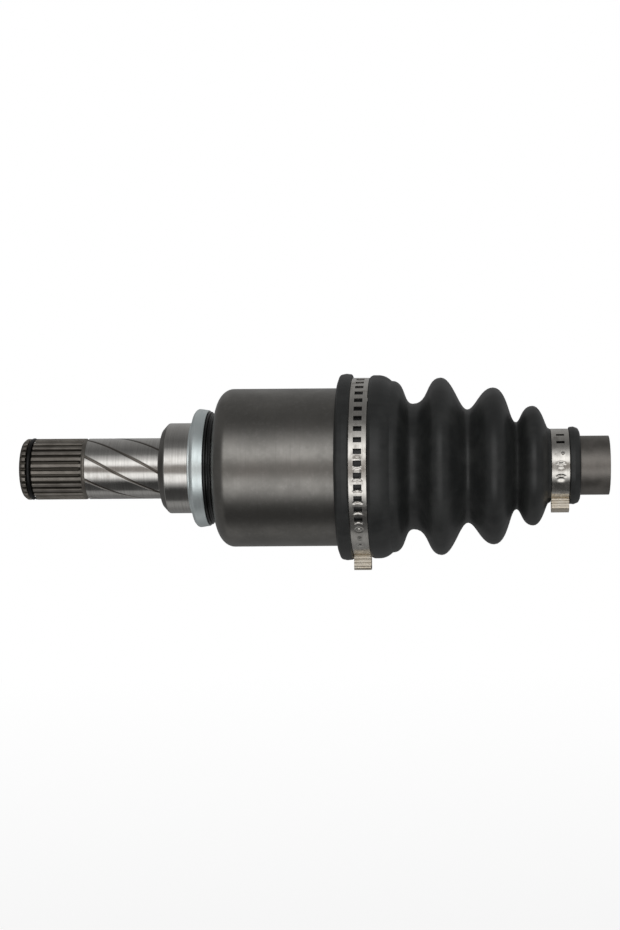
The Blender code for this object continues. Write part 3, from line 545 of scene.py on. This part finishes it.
def with_zones(corners, steps=4):
    """Rounds the corners and gives every point the zone of the corner it came from."""
    line = rounded([corner for corner, _ in corners], steps)
    zones = []
    for i, (corner, zone) in enumerate(corners):
        arc = len(corner) > 2 and 0 < i < len(corners) - 1
        before = corners[i - 1][1] if i else zone
        zones += [before] * (steps // 2) + [zone] * (steps + 1 - steps // 2) if arc else [zone]
    return [(x, radius, zone) for (x, radius), zone in zip(line, zones)]


def divided(points, start, end, step):
    """Adds points between start and end so that none are more than a step apart."""
    made = points[:1]
    slack = 0.001 * MM
    for before, after in zip(points, points[1:]):
        if start - slack <= before[0] and after[0] <= end + slack:
            pieces = max(1, math.ceil(abs(after[0] - before[0]) / step))
            for i in range(1, pieces):
                part = i / pieces
                x = before[0] + (after[0] - before[0]) * part
                made.append((x, before[1] + (after[1] - before[1]) * part, before[2]))
        made.append(after)
    return made


def housing_angles(x):
    """The housing's columns twist with its oil grooves, from the spline's end to the shoulder."""
    turns = (np.clip(x, SPLINE_END, SHOULDER_X) - SPLINE_END) / OIL_GROOVE_LEAD
    return TAU * (np.arange(HOUSING_COLUMNS) / HOUSING_COLUMNS - turns)


def outside_ring(x, radius):
    """One ring of the outline with its teeth, oil grooves or roller tracks cut in."""
    angles = housing_angles(x)
    radii = np.full(HOUSING_COLUMNS, radius)
    if x <= SPLINE_END + 0.6 * MM:
        part = np.clip((x - SPLINE_END + SPLINE_RUN_OUT) / SPLINE_RUN_OUT, 0, 1)
        floor = TOOTH_ROOT + (TOOTH_RADIUS - TOOTH_ROOT) * (1 - math.sqrt(1 - part * part))
        radii -= max(0, radius - floor) * tooth_depth(angles)
    elif x <= SHOULDER_X + 0.1 * MM:
        depth = max(0, min(radius, OIL_JOURNAL_RADIUS) - OIL_GROOVE_FLOOR)
        radii -= depth * oil_groove_depth(angles, x)
    elif x >= MOUTH_X - 0.01 * MM and radius <= RELIEF_RADIUS:
        radii = np.maximum(radii, track_radius(angles))
    return ring(x, radii, angles)


def cavity_line():
    """(x, radius) from the mouth to the cavity's floor. No radius means lands with tracks between."""
    groove = MOUTH_RING_OUTER + 0.3 * MM
    groove_end, groove_start = MOUTH_RING_END + 0.3 * MM, MOUTH_RING_START - 0.3 * MM
    line = [(groove_end, None), (groove_end, groove), (groove_start, groove), (groove_start, None)]
    for part in np.linspace(0, 1, 11)[1:]:
        line.append((groove_start + (RELIEF_START - groove_start) * part, None))
    return line + [(TRACK_FLOOR, None), (TRACK_FLOOR, LAND_RADIUS), (CAVITY_FLOOR, LAND_RADIUS)]


def cavity_ring(x, radius):
    """One ring of the cavity. The lands open out towards the mouth and the tracks cut into them."""
    angles = housing_angles(x)
    part = np.clip((x - RELIEF_START) / (MOUTH_X - RELIEF_START), 0, 1)
    land = LAND_RADIUS + (RELIEF_RADIUS - LAND_RADIUS) * part
    radii = np.full(HOUSING_COLUMNS, radius) if radius else np.maximum(land, track_radius(angles))
    return ring(x, radii, angles)


def housing_rings():
    """Rings and zones from the stub's face over the outside, then down the cavity to its floor."""
    line = with_zones(stub_outline() + cup_outline())
    line = divided(line, CLIP_END, SPLINE_END, 0.35 * MM)
    line = divided(line, SPLINE_END, SHOULDER_X, 1.2 * MM)
    cavity = cavity_line()
    rings = [outside_ring(x, radius) for x, radius, _ in line]
    rings += [cavity_ring(x, radius) for x, radius in cavity]
    zones = [zone for _, _, zone in line] + [FORGED_ZONE] * len(cavity)
    return rings, zones


def build_housing(looks):
    """Forging with a conical centre hole in the stub's face."""
    rings, zones = housing_rings()
    centre_hole = rings[0].copy()
    centre_hole[:, 0] += 1.9 * MM
    centre_hole[:, 1:] *= 0.3
    rings = [centre_hole] + rings
    housing = skin("housing_forging", rings, looks, zones=[SPLINE_ZONE] + zones)
    even_normals(housing)
    return finish_piece(housing, "housing", "housing_steel", "tripod_housing")


# ------------------------------------------------- rings round the stub


def build_snap_ring(look):
    """Round wire in the stub's groove, its ends apart at the bottom."""
    middle, radius = (CLIP_START + CLIP_END) / 2, CLIP_OUTER - CLIP_WIRE
    gap = math.radians(24)
    angles = np.linspace(math.pi + gap / 2, 3 * math.pi - gap / 2, 160)
    rings = [wire_section(middle, radius, angle, CLIP_WIRE, 16) for angle in angles]
    clip = skin("stub_snap_ring", rings, [look])
    return finish_piece(clip, "housing", "spring_steel", "stub_clip")


def build_shield(look):
    """Pressed channel ring, open towards the housing, with a narrow collar on the journal."""
    bore = SEAL_JOURNAL_RADIUS + 0.3 * MM
    collar = bore + 1.0 * MM
    front = SHIELD_START + 1.1 * MM
    face = SHIELD_START + 2.4 * MM
    open_end = SHIELD_END + 0.4 * MM
    rim = SHIELD_OUTER - 0.85 * MM
    sheet = 1.2 * MM
    corners = [
        (open_end, bore, 0.2 * MM),
        (front, bore, 0.2 * MM),
        (front, collar, 0.4 * MM),
        (face - 0.25 * MM, collar, 0.3 * MM),
        (face, collar - 0.35 * MM, 0.1 * MM),
        (face + 0.1 * MM, SHIELD_OUTER - 1.6 * MM, 0.8 * MM),
        (face + 1.3 * MM, SHIELD_OUTER - 0.1 * MM, 1.6 * MM),
        (face + 3.4 * MM, SHIELD_OUTER - 0.4 * MM, 2 * MM),
        (open_end, rim, 0.25 * MM),
        (open_end, rim - sheet, 0.2 * MM),
        (face + sheet + 0.6 * MM, rim - sheet, 0.4 * MM),
        (face + sheet, collar + 0.6 * MM, 0.4 * MM),
        (open_end, collar, 0.2 * MM),
    ]
    shield = turned_ring("dust_shield_pressing", corners, look)
    return finish_piece(shield, "housing", "zinc_plate", "dust_shield")


def build_seal(look):
    """Rubber ring in the shield's channel, with a rounded bead that stands out of its open side."""
    inner = SEAL_JOURNAL_RADIUS + 1.7 * MM
    body = SEAL_OUTER - 1.4 * MM
    bead = SHIELD_END + 0.6 * MM
    end = BACK_X - 0.3 * MM
    corners = [
        (SEAL_START, inner, 0.3 * MM),
        (SEAL_START, body - 0.2 * MM, 0.3 * MM),
        (bead, body - 0.2 * MM, 0.1 * MM),
        (bead, SEAL_OUTER - 0.5 * MM, 0.3 * MM),
        (bead + 0.9 * MM, SEAL_OUTER - 0.6 * MM, 0.5 * MM),
        (bead + 1.2 * MM, SEAL_OUTER - 1.5 * MM, 0.3 * MM),
        (bead + 1.6 * MM, SEAL_OUTER - 1.5 * MM, 0.2 * MM),
        (end - 0.4 * MM, SEAL_OUTER - 0.9 * MM, 0.5 * MM),
        (end, SEAL_OUTER - 1.5 * MM, 0.3 * MM),
        (end, inner, 0.3 * MM),
    ]
    seal = turned_ring("dust_seal_ring", corners, look)
    return finish_piece(seal, "housing", "seal_rubber", "dust_seal")


# ------------------------------------------------------------------ boot


def half_fold(start, end, hold_start, hold_end, steps=12):
    """One side of a fold: flat at both ends, each end held flat for its share of the length."""
    (x0, r0), (x1, r1) = start, end
    length = x1 - x0
    points = []
    for i in range(steps):
        t = i / steps
        a, b, c, d = (1 - t) ** 3, 3 * t * (1 - t) ** 2, 3 * t * t * (1 - t), t**3
        x = a * x0 + b * (x0 + hold_start * length) + c * (x1 - hold_end * length) + d * x1
        points.append((x, (a + b) * r0 + (c + d) * r1))
    return points


def bellows(shrink=0.0):
    """Line over the folds. Each turn is its (x, radius) and how long it holds, ahead and behind."""
    turns = [
        (FOLDS_START, 0.65, 0.5),
        ((163 * MM, 38.1 * MM), 0.7, 0.05),
        ((172.15 * MM, 27.9 * MM), 0.6, 0.5),
        ((184.65 * MM, 39.4 * MM), 0.45, 0.55),
        ((196.25 * MM, 25.2 * MM), 0.3, 0.3),
        ((207.75 * MM, 34.85 * MM), 0.65, 0.5),
        ((217.75 * MM, 19.4 * MM), 0.3, 0.3),
        ((225.2 * MM, 26.6 * MM), 0.6, 0.7),
        (FOLDS_END, 0.2, 0.2),
    ]
    points = []
    for (start, ahead, _), (end, _, behind) in zip(turns, turns[1:]):
        points += half_fold(start, end, ahead, behind)
    return [(x, radius - shrink) for x, radius in points + [FOLDS_END]]


def large_end():
    """Lip, clamp seat and shoulder of the boot's large end."""
    lip = BOOT_START + 0.5 * MM
    groove = LARGE_BAND_START
    return [
        (lip, HOUSING_RADIUS + 0.4 * MM, 0.3 * MM),
        (lip, BOOT_OUTER - 3.2 * MM, 1.0 * MM),
        (lip + 1.0 * MM, BOOT_OUTER - 0.5 * MM, 1.4 * MM),
        (lip + 3.6 * MM, BOOT_OUTER, 1.2 * MM),
        (groove - 0.25 * MM, BOOT_OUTER - 0.3 * MM, 0.7 * MM),
        (groove - 0.1 * MM, LARGE_SEAT, 0.2 * MM),
        (LARGE_END + 0.1 * MM, LARGE_SEAT, 0.2 * MM),
        (LARGE_END + 0.3 * MM, 40.0 * MM, 0.6 * MM),
        (LARGE_END + 1.6 * MM, FOLDS_START[1], 1.2 * MM),
        FOLDS_START,
    ]


def small_end():
    """Clamp seat, lip and bore of the boot's small end."""
    lip = 17.3 * MM
    bore = BAR_RADIUS + 0.35 * MM
    return [
        FOLDS_END,
        (SMALL_START - 0.15 * MM, 16.3 * MM, 0.4 * MM),
        (SMALL_START - 0.1 * MM, SMALL_SEAT, 0.2 * MM),
        (SMALL_END + 0.1 * MM, SMALL_SEAT, 0.2 * MM),
        (SMALL_END + 0.3 * MM, lip - 0.25 * MM, 0.5 * MM),
        (SMALL_END + 2.3 * MM, lip, 1.2 * MM),
        (BOOT_END - 0.7 * MM, lip - 0.8 * MM, 1.2 * MM),
        (BOOT_END, lip - 2.2 * MM, 0.8 * MM),
        (BOOT_END, bore, 0.2 * MM),
        (SMALL_START - 0.6 * MM, bore, 0.2 * MM),
        (FOLDS_END[0], FOLDS_END[1] - BOOT_WALL),
    ]


def boot_outline():
    """Closed outline: over the outside to the small end and back along the inside."""
    inside = bellows(BOOT_WALL)[::-1]
    lip = large_end()[0]
    mouth = [
        inside[-1],
        (MOUTH_X + 1.2 * MM, HOUSING_RADIUS + 0.9 * MM, 0.4 * MM),
        (MOUTH_X + 0.6 * MM, lip[1], 0.3 * MM),
        lip,
    ]
    outside = rounded(large_end(), 8)[:-1] + bellows() + rounded(small_end(), 8)[1:-1]
    return outside + inside + rounded(mouth)[1:-1]


def follow_body(obj, body, weights):
    """Lets part of a soft piece follow another body: each point by its own weight."""
    group = obj.vertex_groups.new(name=f"follows_{body}")
    for index, weight in enumerate(weights):
        if weight > 0:
            group.add([index], float(weight), "REPLACE")
    hook = obj.modifiers.new(f"follow_{body}", "HOOK")
    hook.object = frame["bodies"][body]
    hook.vertex_group = group.name
    hook.falloff_type = "NONE"


def build_boot(look):
    """Moulded bellows. Its large end stays on the housing and its small end goes with the bar."""
    boot = skin("bellows_boot", circles(boot_outline(), ROUND_COLUMNS), [look], loop=True)
    along = np.array([v.co.x for v in boot.data.vertices])
    finish_piece(boot, "housing", "boot_rubber", "boot")
    follow_body(boot, "shaft", smoothstep(along, BEND_START, BEND_END))
    return boot


# ---------------------------------------------------------------- clamps


def ear_line(height, length):
    """The pinched loop as (distance along the band, height), front leg with three ridges first."""
    half = length / 2
    corners = [
        (half + EAR_FOOT, 0),
        (half, 0, 0.7 * MM),
        (half, height, 0.9 * MM),
        (-half, height, 0.9 * MM),
        (-half, 0, 0.7 * MM),
        (-half - EAR_FOOT, 0),
    ]
    line = np.array(rounded(corners, 6))
    reach = np.concatenate([[0], np.cumsum(np.hypot(*np.diff(line, axis=0).T))])
    places = np.linspace(0, reach[-1], round(reach[-1] / (0.2 * MM)) + 1)
    line = np.stack([np.interp(places, reach, line[:, k]) for k in (0, 1)], axis=-1)
    ridges_start = 0.9 * MM
    ridges_end = height - 1.1 * MM
    part = (line[:, 1] - ridges_start) / (ridges_end - ridges_start)
    leg = (line[:, 0] > 0) & (part > 0) & (part < 1)
    swell = np.abs(np.sin(math.pi * EAR_RIDGES * part[leg]))
    line[leg, 0] += EAR_RIDGE * swell**0.8
    return line


def band_line(clamp):
    """Middle line of a clamp strip: angle and radius of each point, and its cell's number.

    The inner layer starts at the hidden end and runs to the ear, the outer layer runs from the ear
    round the back and over the top and laps over the inner one down to the visible end."""
    cell = clamp.pitch / SLOT_CELLS
    low = clamp.outer - STRIP - 0.05 * MM
    foot = (clamp.ear_length / 2 + EAR_FOOT) / low
    turn_start = clamp.visible_end + TAU
    line = []
    first = math.ceil((clamp.ear + foot - turn_start) / cell + 0.5)
    last = round((clamp.hidden_end - turn_start) / cell)
    for k in range(last, first - 1, -1):
        line.append((turn_start + k * cell, low, k))
    for along, height in ear_line(clamp.ear_height, clamp.ear_length):
        line.append((clamp.ear + along / low, low + height, None))
    for k in range(math.floor((clamp.ear - foot - clamp.visible_end) / cell - 0.5), -1, -1):
        angle = clamp.visible_end + k * cell
        rise = smoothstep(clamp.ear - angle, *LAP_RISE)
        line.append((angle, low + (clamp.outer - low) * float(rise), k))
    return line


def mark_height(marks, angle, radius, across):
    """Height in metres of the pressed marks over the band, at one angle, for each place across it."""
    raised = np.zeros(len(across))
    for kind, place, off_middle in marks:
        along = (angle - place) * radius / MM
        if abs(along) > 4:
            continue
        off = (across - off_middle * MM) / MM
        distance = np.hypot(along, off)
        if kind == "hook":
            bow = along + 0.16 * off**2
            raised += 0.34 * np.exp(-((bow / 0.3) ** 2)) * (1 - smoothstep(np.abs(off), 1.6, 2.1))
        elif kind == "bridge":
            dome = np.maximum(0, 1 - (off / 1.9) ** 2) * np.exp(-(along**2))
            raised += 0.35 * dome
        elif kind == "pip":
            raised -= 0.5 * np.exp(-((distance / 0.45) ** 2))
        elif kind == "dent":
            raised += 0.2 * np.exp(-(((distance - 1.3) / 0.35) ** 2))
            raised -= 0.4 * np.exp(-((distance / 0.75) ** 2))
    return raised * MM


def strip_faces(rows, columns, open_cells):
    """Quads of a closed strip with holes: points 0.. are its outer skin, the rest its inner skin."""
    skin_size = rows * columns
    faces, borders, face_rows = [], {}, []
    for i in range(rows - 1):
        for j in range(columns - 1):
            if (i, j) in open_cells:
                continue
            a, b = i * columns + j, (i + 1) * columns + j
            corners = (a, a + 1, b + 1, b)
            faces.append(corners)
            faces.append(tuple(skin_size + c for c in corners[::-1]))
            face_rows += [i, i]
            for edge in zip(corners, corners[1:] + corners[:1]):
                if edge[::-1] in borders:
                    del borders[edge[::-1]]
                else:
                    borders[edge] = True
    faces += [(b, a, skin_size + a, skin_size + b) for a, b in borders]
    face_rows += [min(a, b) // columns for a, b in borders]
    return faces, face_rows


def strip_columns(width):
    """Places across a strip: a few beside the slots and more over the slots' own width."""
    slot = SLOT_WIDTH / 2
    side = np.linspace(slot, width / 2, SIDE_STEPS + 1)
    return np.concatenate([-side[::-1], np.linspace(-slot, slot, SLOT_STEPS + 1)[1:-1], side])


def strip_skins(clamp, line, across):
    """Outer and inner skin of the strip, pressed marks included, as (skin, row, column, xyz)."""
    angles = np.array([angle for angle, _, _ in line])
    radii = np.array([radius for _, radius, _ in line])
    path = np.stack([radii * np.sin(angles), radii * np.cos(angles)], -1)
    along = np.gradient(path, axis=0)
    outward = np.stack([-along[:, 1], along[:, 0]], -1) / np.linalg.norm(along, axis=1)[:, None]
    skins = np.zeros((2, len(line), len(across), 3))
    for i, (angle, _, number) in enumerate(line):
        width = across.copy()
        raised = np.zeros(len(across))
        if number is not None:
            raised = mark_height(clamp.marks, angle, clamp.outer, across)
            if abs((angle - clamp.tab) * clamp.outer) < 1 * MM:
                width[-1] += 0.6 * MM
        from_tip = min(i, len(line) - 1 - i) * clamp.pitch / SLOT_CELLS * clamp.outer
        width *= 1 - 0.12 * max(0, 1 - from_tip / (0.9 * MM)) ** 2
        for k, depth in enumerate((0, STRIP)):
            skins[k, i, :, 0] = (clamp.start + clamp.end) / 2 + width
            skins[k, i, :, 1:] = path[i] + outward[i] * (raised - depth)[:, None]
    return skins


def slot_cells(clamp, line):
    """(row, column) of the faces that the slots leave open."""
    cell = clamp.pitch / SLOT_CELLS * clamp.outer
    lead_cells = round(clamp.lead / cell)
    open_count = round(clamp.slot_length / cell)
    slot_columns = range(SIDE_STEPS, SIDE_STEPS + SLOT_STEPS)
    cells = set()
    for i, (here, after) in enumerate(zip(line, line[1:])):
        if here[2] is None or after[2] is None:
            continue
        beyond = after[2] - lead_cells
        if 0 <= beyond < clamp.slots * SLOT_CELLS and beyond % SLOT_CELLS < open_count:
            cells.update((i, j) for j in slot_columns)
    return cells


def strip_clamp(name, clamp, looks):
    """Slotted band clamp with a pinched ear, which gets the second look."""
    line = band_line(clamp)
    across = strip_columns(clamp.end - clamp.start)
    skins = strip_skins(clamp, line, across)
    faces, face_rows = strip_faces(len(line), len(across), slot_cells(clamp, line))
    band = make_object(name, skins.reshape(-1, 3), faces, looks, sharp=50)
    pinched = [int(line[row][2] is None) for row in face_rows]
    band.data.polygons.foreach_set("material_index", pinched)
    return band


def build_large_clamp(looks):
    """Wide band with a row of slots, hooks below them and three dents before the ear."""
    first_slot = math.radians(-124.5 - 360)
    slot_length, lead = 2.3 * MM, 1.4 * MM
    pitch = 5 * MM / LARGE_BAND
    hook = (slot_length / 2 + 0.45 * MM) / LARGE_BAND
    bridge = (slot_length / 2 + 0.65 * MM) / LARGE_BAND
    marks = [("hook", first_slot + k * pitch - hook, 0) for k in range(6)]
    marks += [("bridge", first_slot + k * pitch + bridge, 0) for k in (4, 5)]
    marks += [("dent", math.radians(angle), 0) for angle in (-134, -142.3, -150.6)]
    clamp = SimpleNamespace(
        start=LARGE_BAND_START,
        end=LARGE_END,
        outer=LARGE_BAND,
        ear=math.radians(-180),
        ear_height=6.9 * MM,
        ear_length=6.4 * MM,
        hidden_end=math.radians(-82),
        visible_end=first_slot - (lead + slot_length / 2) / LARGE_BAND,
        pitch=pitch,
        lead=lead,
        slot_length=slot_length,
        slots=24,
        marks=marks,
        tab=math.radians(-43 - 360),
    )
    band = strip_clamp("large_clamp_band", clamp, looks)
    return finish_piece(band, "housing", "stainless", "large_boot_clamp")


def build_small_clamp(looks):
    """Narrow band with two slots on top and two hooks and a small pit in front."""
    first_slot = math.radians(-51.7 - 360)
    visible_end = math.radians(-139.4 - 360)
    slot_length = 1.25 * MM
    marks = [("pip", math.radians(-71.6 - 360), 0.9)]
    for angle in (-90, -109.5):
        place = math.radians(angle - 360)
        marks.append(("hook", place + 1.2 * MM / SMALL_BAND, 0))
        marks.append(("bridge", place - 0.4 * MM / SMALL_BAND, 0))
    clamp = SimpleNamespace(
        start=SMALL_START,
        end=SMALL_END,
        outer=SMALL_BAND,
        ear=math.radians(-165),
        ear_height=5.4 * MM,
        ear_length=4.6 * MM,
        hidden_end=math.radians(-120),
        visible_end=visible_end,
        pitch=math.radians(16.7),
        lead=(first_slot - visible_end) * SMALL_BAND - slot_length / 2,
        slot_length=slot_length,
        slots=2,
        marks=marks,
        tab=0,
    )
    band = strip_clamp("small_clamp_band", clamp, looks)
    return finish_piece(band, "shaft", "stainless", "small_boot_clamp")


# ------------------------------------------------------- bar and spring


def clip_groove(start, end, floor, radius, fillet):
    """Corners of a square groove in the bar."""
    places = ((start, radius), (start, floor), (end, floor), (end, radius))
    return [(x, reach, fillet) for x, reach in places]


def bar_outline():
    """From the round nose in the thrust cup to where the bar is cut off."""
    joint_x = 128 * MM
    nose, nose_edge = 17 * MM, 10.3 * MM
    spline, neck, floor = 11 * MM, 11.5 * MM, 9 * MM
    half = 0.75 * MM
    corners = []
    for part in np.linspace(0, 1, 9)[1:]:
        angle = math.asin(nose_edge / nose) * part
        corners.append((joint_x - nose * math.cos(angle), nose * math.sin(angle)))
    corners.append((114.6 * MM, spline, 0.2 * MM))
    for middle in (117.5 * MM, 138.8 * MM):
        corners += clip_groove(middle - half, middle + half, floor, spline, 0.1 * MM)
    return corners + [
        (142.3 * MM, spline, 0.5 * MM),
        (143.8 * MM, neck, 2 * MM),
        (222 * MM, neck, 8 * MM),
        (228 * MM, BAR_RADIUS, 4 * MM),
        (235.3 * MM, BAR_RADIUS, 0.2 * MM),
        (235.6 * MM, BAR_RADIUS - 0.8 * MM, 0.2 * MM),
        (238.4 * MM, BAR_RADIUS - 0.8 * MM, 0.2 * MM),
        (238.7 * MM, BAR_RADIUS, 0.2 * MM),
        (BAR_END, BAR_RADIUS, 0.15 * MM),
        (BAR_END, BAR_RADIUS / 2),
    ]


def build_bar(look):
    """The axle bar, splined where the spider sits."""
    teeth, columns = 20, 160
    root, spline_end = 10.1 * MM, 140 * MM
    angles = TAU * np.arange(columns) / columns
    across = np.abs((angles * teeth / TAU) % 1 - 0.5)
    space = 1 - smoothstep(across, 0.14, 0.3)
    rings = []
    for x, radius in rounded(bar_outline()):
        radii = np.full(columns, radius)
        if x < spline_end and radius > root:
            radii -= (radius - root) * space
        rings.append(ring(x, radii, angles))
    bar = skin("axle_bar_turned", rings, [look])
    even_normals(bar)
    return finish_piece(bar, "shaft", "bar_steel", "axle_bar")


def build_spring(look):
    """Conical coil: its wide end stays on the cavity's floor and its tip follows the thrust cup."""
    wire = 1.1 * MM
    turns = 4.5
    base, tip = 12 * MM, 6.4 * MM
    start, end = SPRING_START + wire, SPRING_END - wire
    sides = 12
    rings, parts = [], np.linspace(0, 1, 180)
    for part in parts:
        x = start + (end - start) * part
        reach = base + (tip - base) * part
        rings.append(wire_section(x, reach, TAU * turns * part, wire, sides))
    spring = skin("thrust_coil_spring", rings, [look])
    weights = np.append(np.repeat(parts, sides), [0, 1])
    finish_piece(spring, "housing", "spring_steel", "thrust_spring")
    follow_body(spring, "thrust_cup", weights)
    return spring


# ------------------------------------------------ CAD nodes that are kept


def paint(node, look):
    """Gives a CAD node its look."""
    slots = frame["nodes"][node].data.materials
    if len(slots):
        slots[0] = look
    else:
        slots.append(look)


def paint_inner_parts(bright, black, plastic):
    """The pieces inside the cup keep their CAD shape and get a worked surface."""
    for node in ("spider", "mouth_ring", "spider_clip", "spider_stop_ring"):
        paint(node, bright if node == "spider" else black)
    for number in (1, 2, 3):
        for kind in ("needle_set", "roller", "needle_washer"):
            paint(f"{kind}_{number}", bright)
        paint(f"trunnion_clip_{number}", black)
    paint("thrust_cup", plastic)


# ------------------------------------------------------ light and camera


def set_bands(stops):
    """Sets the colour ramp of the light round the axle, at half its strength."""
    grey, warm = (1.0, 1.0, 1.0), (1.0, 0.93, 0.88)
    # Elevation in degrees, from the horizon in front over the top, and the light there
    bands = [
        (-180, 0.20, grey),
        (-125, 0.22, grey),
        (-108, 0.36, grey),
        (-93.5, 0.33, grey),
        (-91, 0.085, grey),
        (-52, 0.045, grey),
        (-40, 0.6, grey),
        (-33, 1.4, grey),
        (-18, 1.5, grey),
        (-12, 0.34, warm),
        (7, 0.34, warm),
        (13, 1.5, grey),
        (24, 1.6, grey),
        (34, 0.9, grey),
        (50, 0.42, grey),
        (53, 0.21, grey),
        (74, 0.15, grey),
        (100, 0.24, grey),
        (130, 0.34, grey),
        (150, 0.38, grey),
        (180, 0.26, grey),
    ]
    while len(stops) < len(bands):
        stops.new(0.5)
    for stop, (degrees, light, tint) in zip(stops, bands):
        stop.position = 0.5 + degrees / 360
        stop.color = (*(light / 2 * c for c in tint), 1)


def build_world():
    """Soft studio: two long strips in front of the axle, grey behind it, dark past its ends."""
    world = bpy.data.worlds.new("studio")
    bpy.context.scene.world = world
    world.use_nodes = True
    world.node_tree.nodes.clear()
    g = Nodes(world.node_tree)
    direction = g.put("ShaderNodeTexCoord").outputs["Generated"]
    split = g.put("ShaderNodeSeparateXYZ", {0: direction}).outputs
    elevation = g.maths("ARCTAN2", split["Z"], g.maths("MULTIPLY", split["Y"], -1.0))
    ramp = g.put("ShaderNodeValToRGB", {0: g.maths("MULTIPLY_ADD", elevation, 1 / TAU, 0.5)})
    set_bands(ramp.color_ramp.elements)
    sideways = g.spread(g.maths("ABSOLUTE", split["X"]), 0.30, 0.58)
    ends = g.spread(split["X"], -0.4, 0.4, 0.10, 0.12, "LINEAR")
    light = g.mix(sideways, ramp.outputs["Color"], ends)
    studio = g.put("ShaderNodeBackground", {"Color": light, "Strength": 2.0}).outputs[0]
    backdrop = g.put("ShaderNodeBackground", {"Color": WHITE}).outputs[0]
    camera_ray = g.put("ShaderNodeLightPath").outputs["Is Camera Ray"]
    seen = g.put("ShaderNodeMixShader", {0: camera_ray, 1: studio, 2: backdrop})
    g.put("ShaderNodeOutputWorld", {0: seen.outputs[0]})


def floor_look():
    """White seen flat, a little darker seen from above."""
    look = bpy.data.materials.new("pale_floor")
    look.use_nodes = True
    look.node_tree.nodes.clear()
    g = Nodes(look.node_tree)
    incoming = g.put("ShaderNodeNewGeometry").outputs["Incoming"]
    height = g.put("ShaderNodeSeparateXYZ", {0: incoming}).outputs["Z"]
    share = g.spread(height, 0.12, 0.7, 0.0, 0.45, "LINEAR")
    glow = g.put("ShaderNodeEmission", {"Color": WHITE}).outputs[0]
    matte = g.put("ShaderNodeBsdfDiffuse", {"Color": WHITE}).outputs[0]
    mixed = g.put("ShaderNodeMixShader", {0: share, 1: glow, 2: matte})
    g.put("ShaderNodeOutputMaterial", {0: mixed.outputs[0]})
    return look


def build_floor():
    """Floor just under the object. Only the camera sees it, so the studio still lights from below."""
    half_width = 3.0
    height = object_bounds()[0].z - 0.5 * MM
    signs = ((-1, -1), (1, -1), (1, 1), (-1, 1))
    corners = np.array([(x * half_width, y * half_width, height) for x, y in signs])
    floor = make_object("pale_floor", corners, [(0, 1, 2, 3)], [floor_look()])
    for kind in ("diffuse", "glossy", "transmission", "volume_scatter", "shadow"):
        setattr(floor, f"visible_{kind}", False)


def build_camera():
    """Level camera in front of the boot, shifted sideways to frame the whole axle."""
    data = bpy.data.cameras.new("camera")
    camera = bpy.data.objects.new("camera", data)
    bpy.context.scene.collection.objects.link(camera)
    distance = 760 * MM
    roll = math.radians(0.425)
    side_shift = -0.1664
    camera.location = (195 * MM, -distance, 0.5 * MM)
    camera.rotation_euler = (math.radians(90), roll, 0)
    data.lens = 66.2
    data.clip_start = 10 * MM
    data.clip_end = 10
    # The shift belongs to this place of the camera; from anywhere else the picture is centred.
    shift = data.driver_add("shift_x").driver
    shift.type = "SCRIPTED"
    place = shift.variables.new()
    place.name = "y"
    place.type = "TRANSFORMS"
    place.targets[0].id = camera
    place.targets[0].transform_type = "LOC_Y"
    place.targets[0].transform_space = "WORLD_SPACE"
    shift.expression = f"{side_shift} * (abs(y + {distance}) < 0.0005)"
    bpy.context.scene.camera = camera
    bpy.context.scene.view_settings.view_transform = "Standard"


def main():
    black = worked_steel("black_spring_steel", (0.03, 0.03, 0.03), 0.32, 0.45)
    bright = worked_steel("bright_ground_steel", (0.42, 0.415, 0.40), 0.18, 0.28)
    bar = worked_steel("blackened_bar_steel", (0.20, 0.187, 0.172), 0.42, 0.5, lines_along_x=True)
    seal = rubber("seal_rubber", (0.006, 0.006, 0.006), (0.012, 0.013, 0.013), 0.22, 0.34, 0.02)
    boot = rubber("boot_rubber", (0.023, 0.0245, 0.0245), (0.042, 0.044, 0.043), 0.38, 0.52)
    strip = [stainless(), pinched_stainless()]
    build_housing([spline_steel(), ground_journal(), hardened_steel()])
    build_snap_ring(black)
    build_shield(zinc_plate())
    build_seal(seal)
    build_boot(boot)
    build_large_clamp(strip)
    build_small_clamp(strip)
    build_bar(bar)
    build_spring(black)
    paint_inner_parts(bright, black, nylon())
    build_world()
    build_floor()
    build_camera()


main()
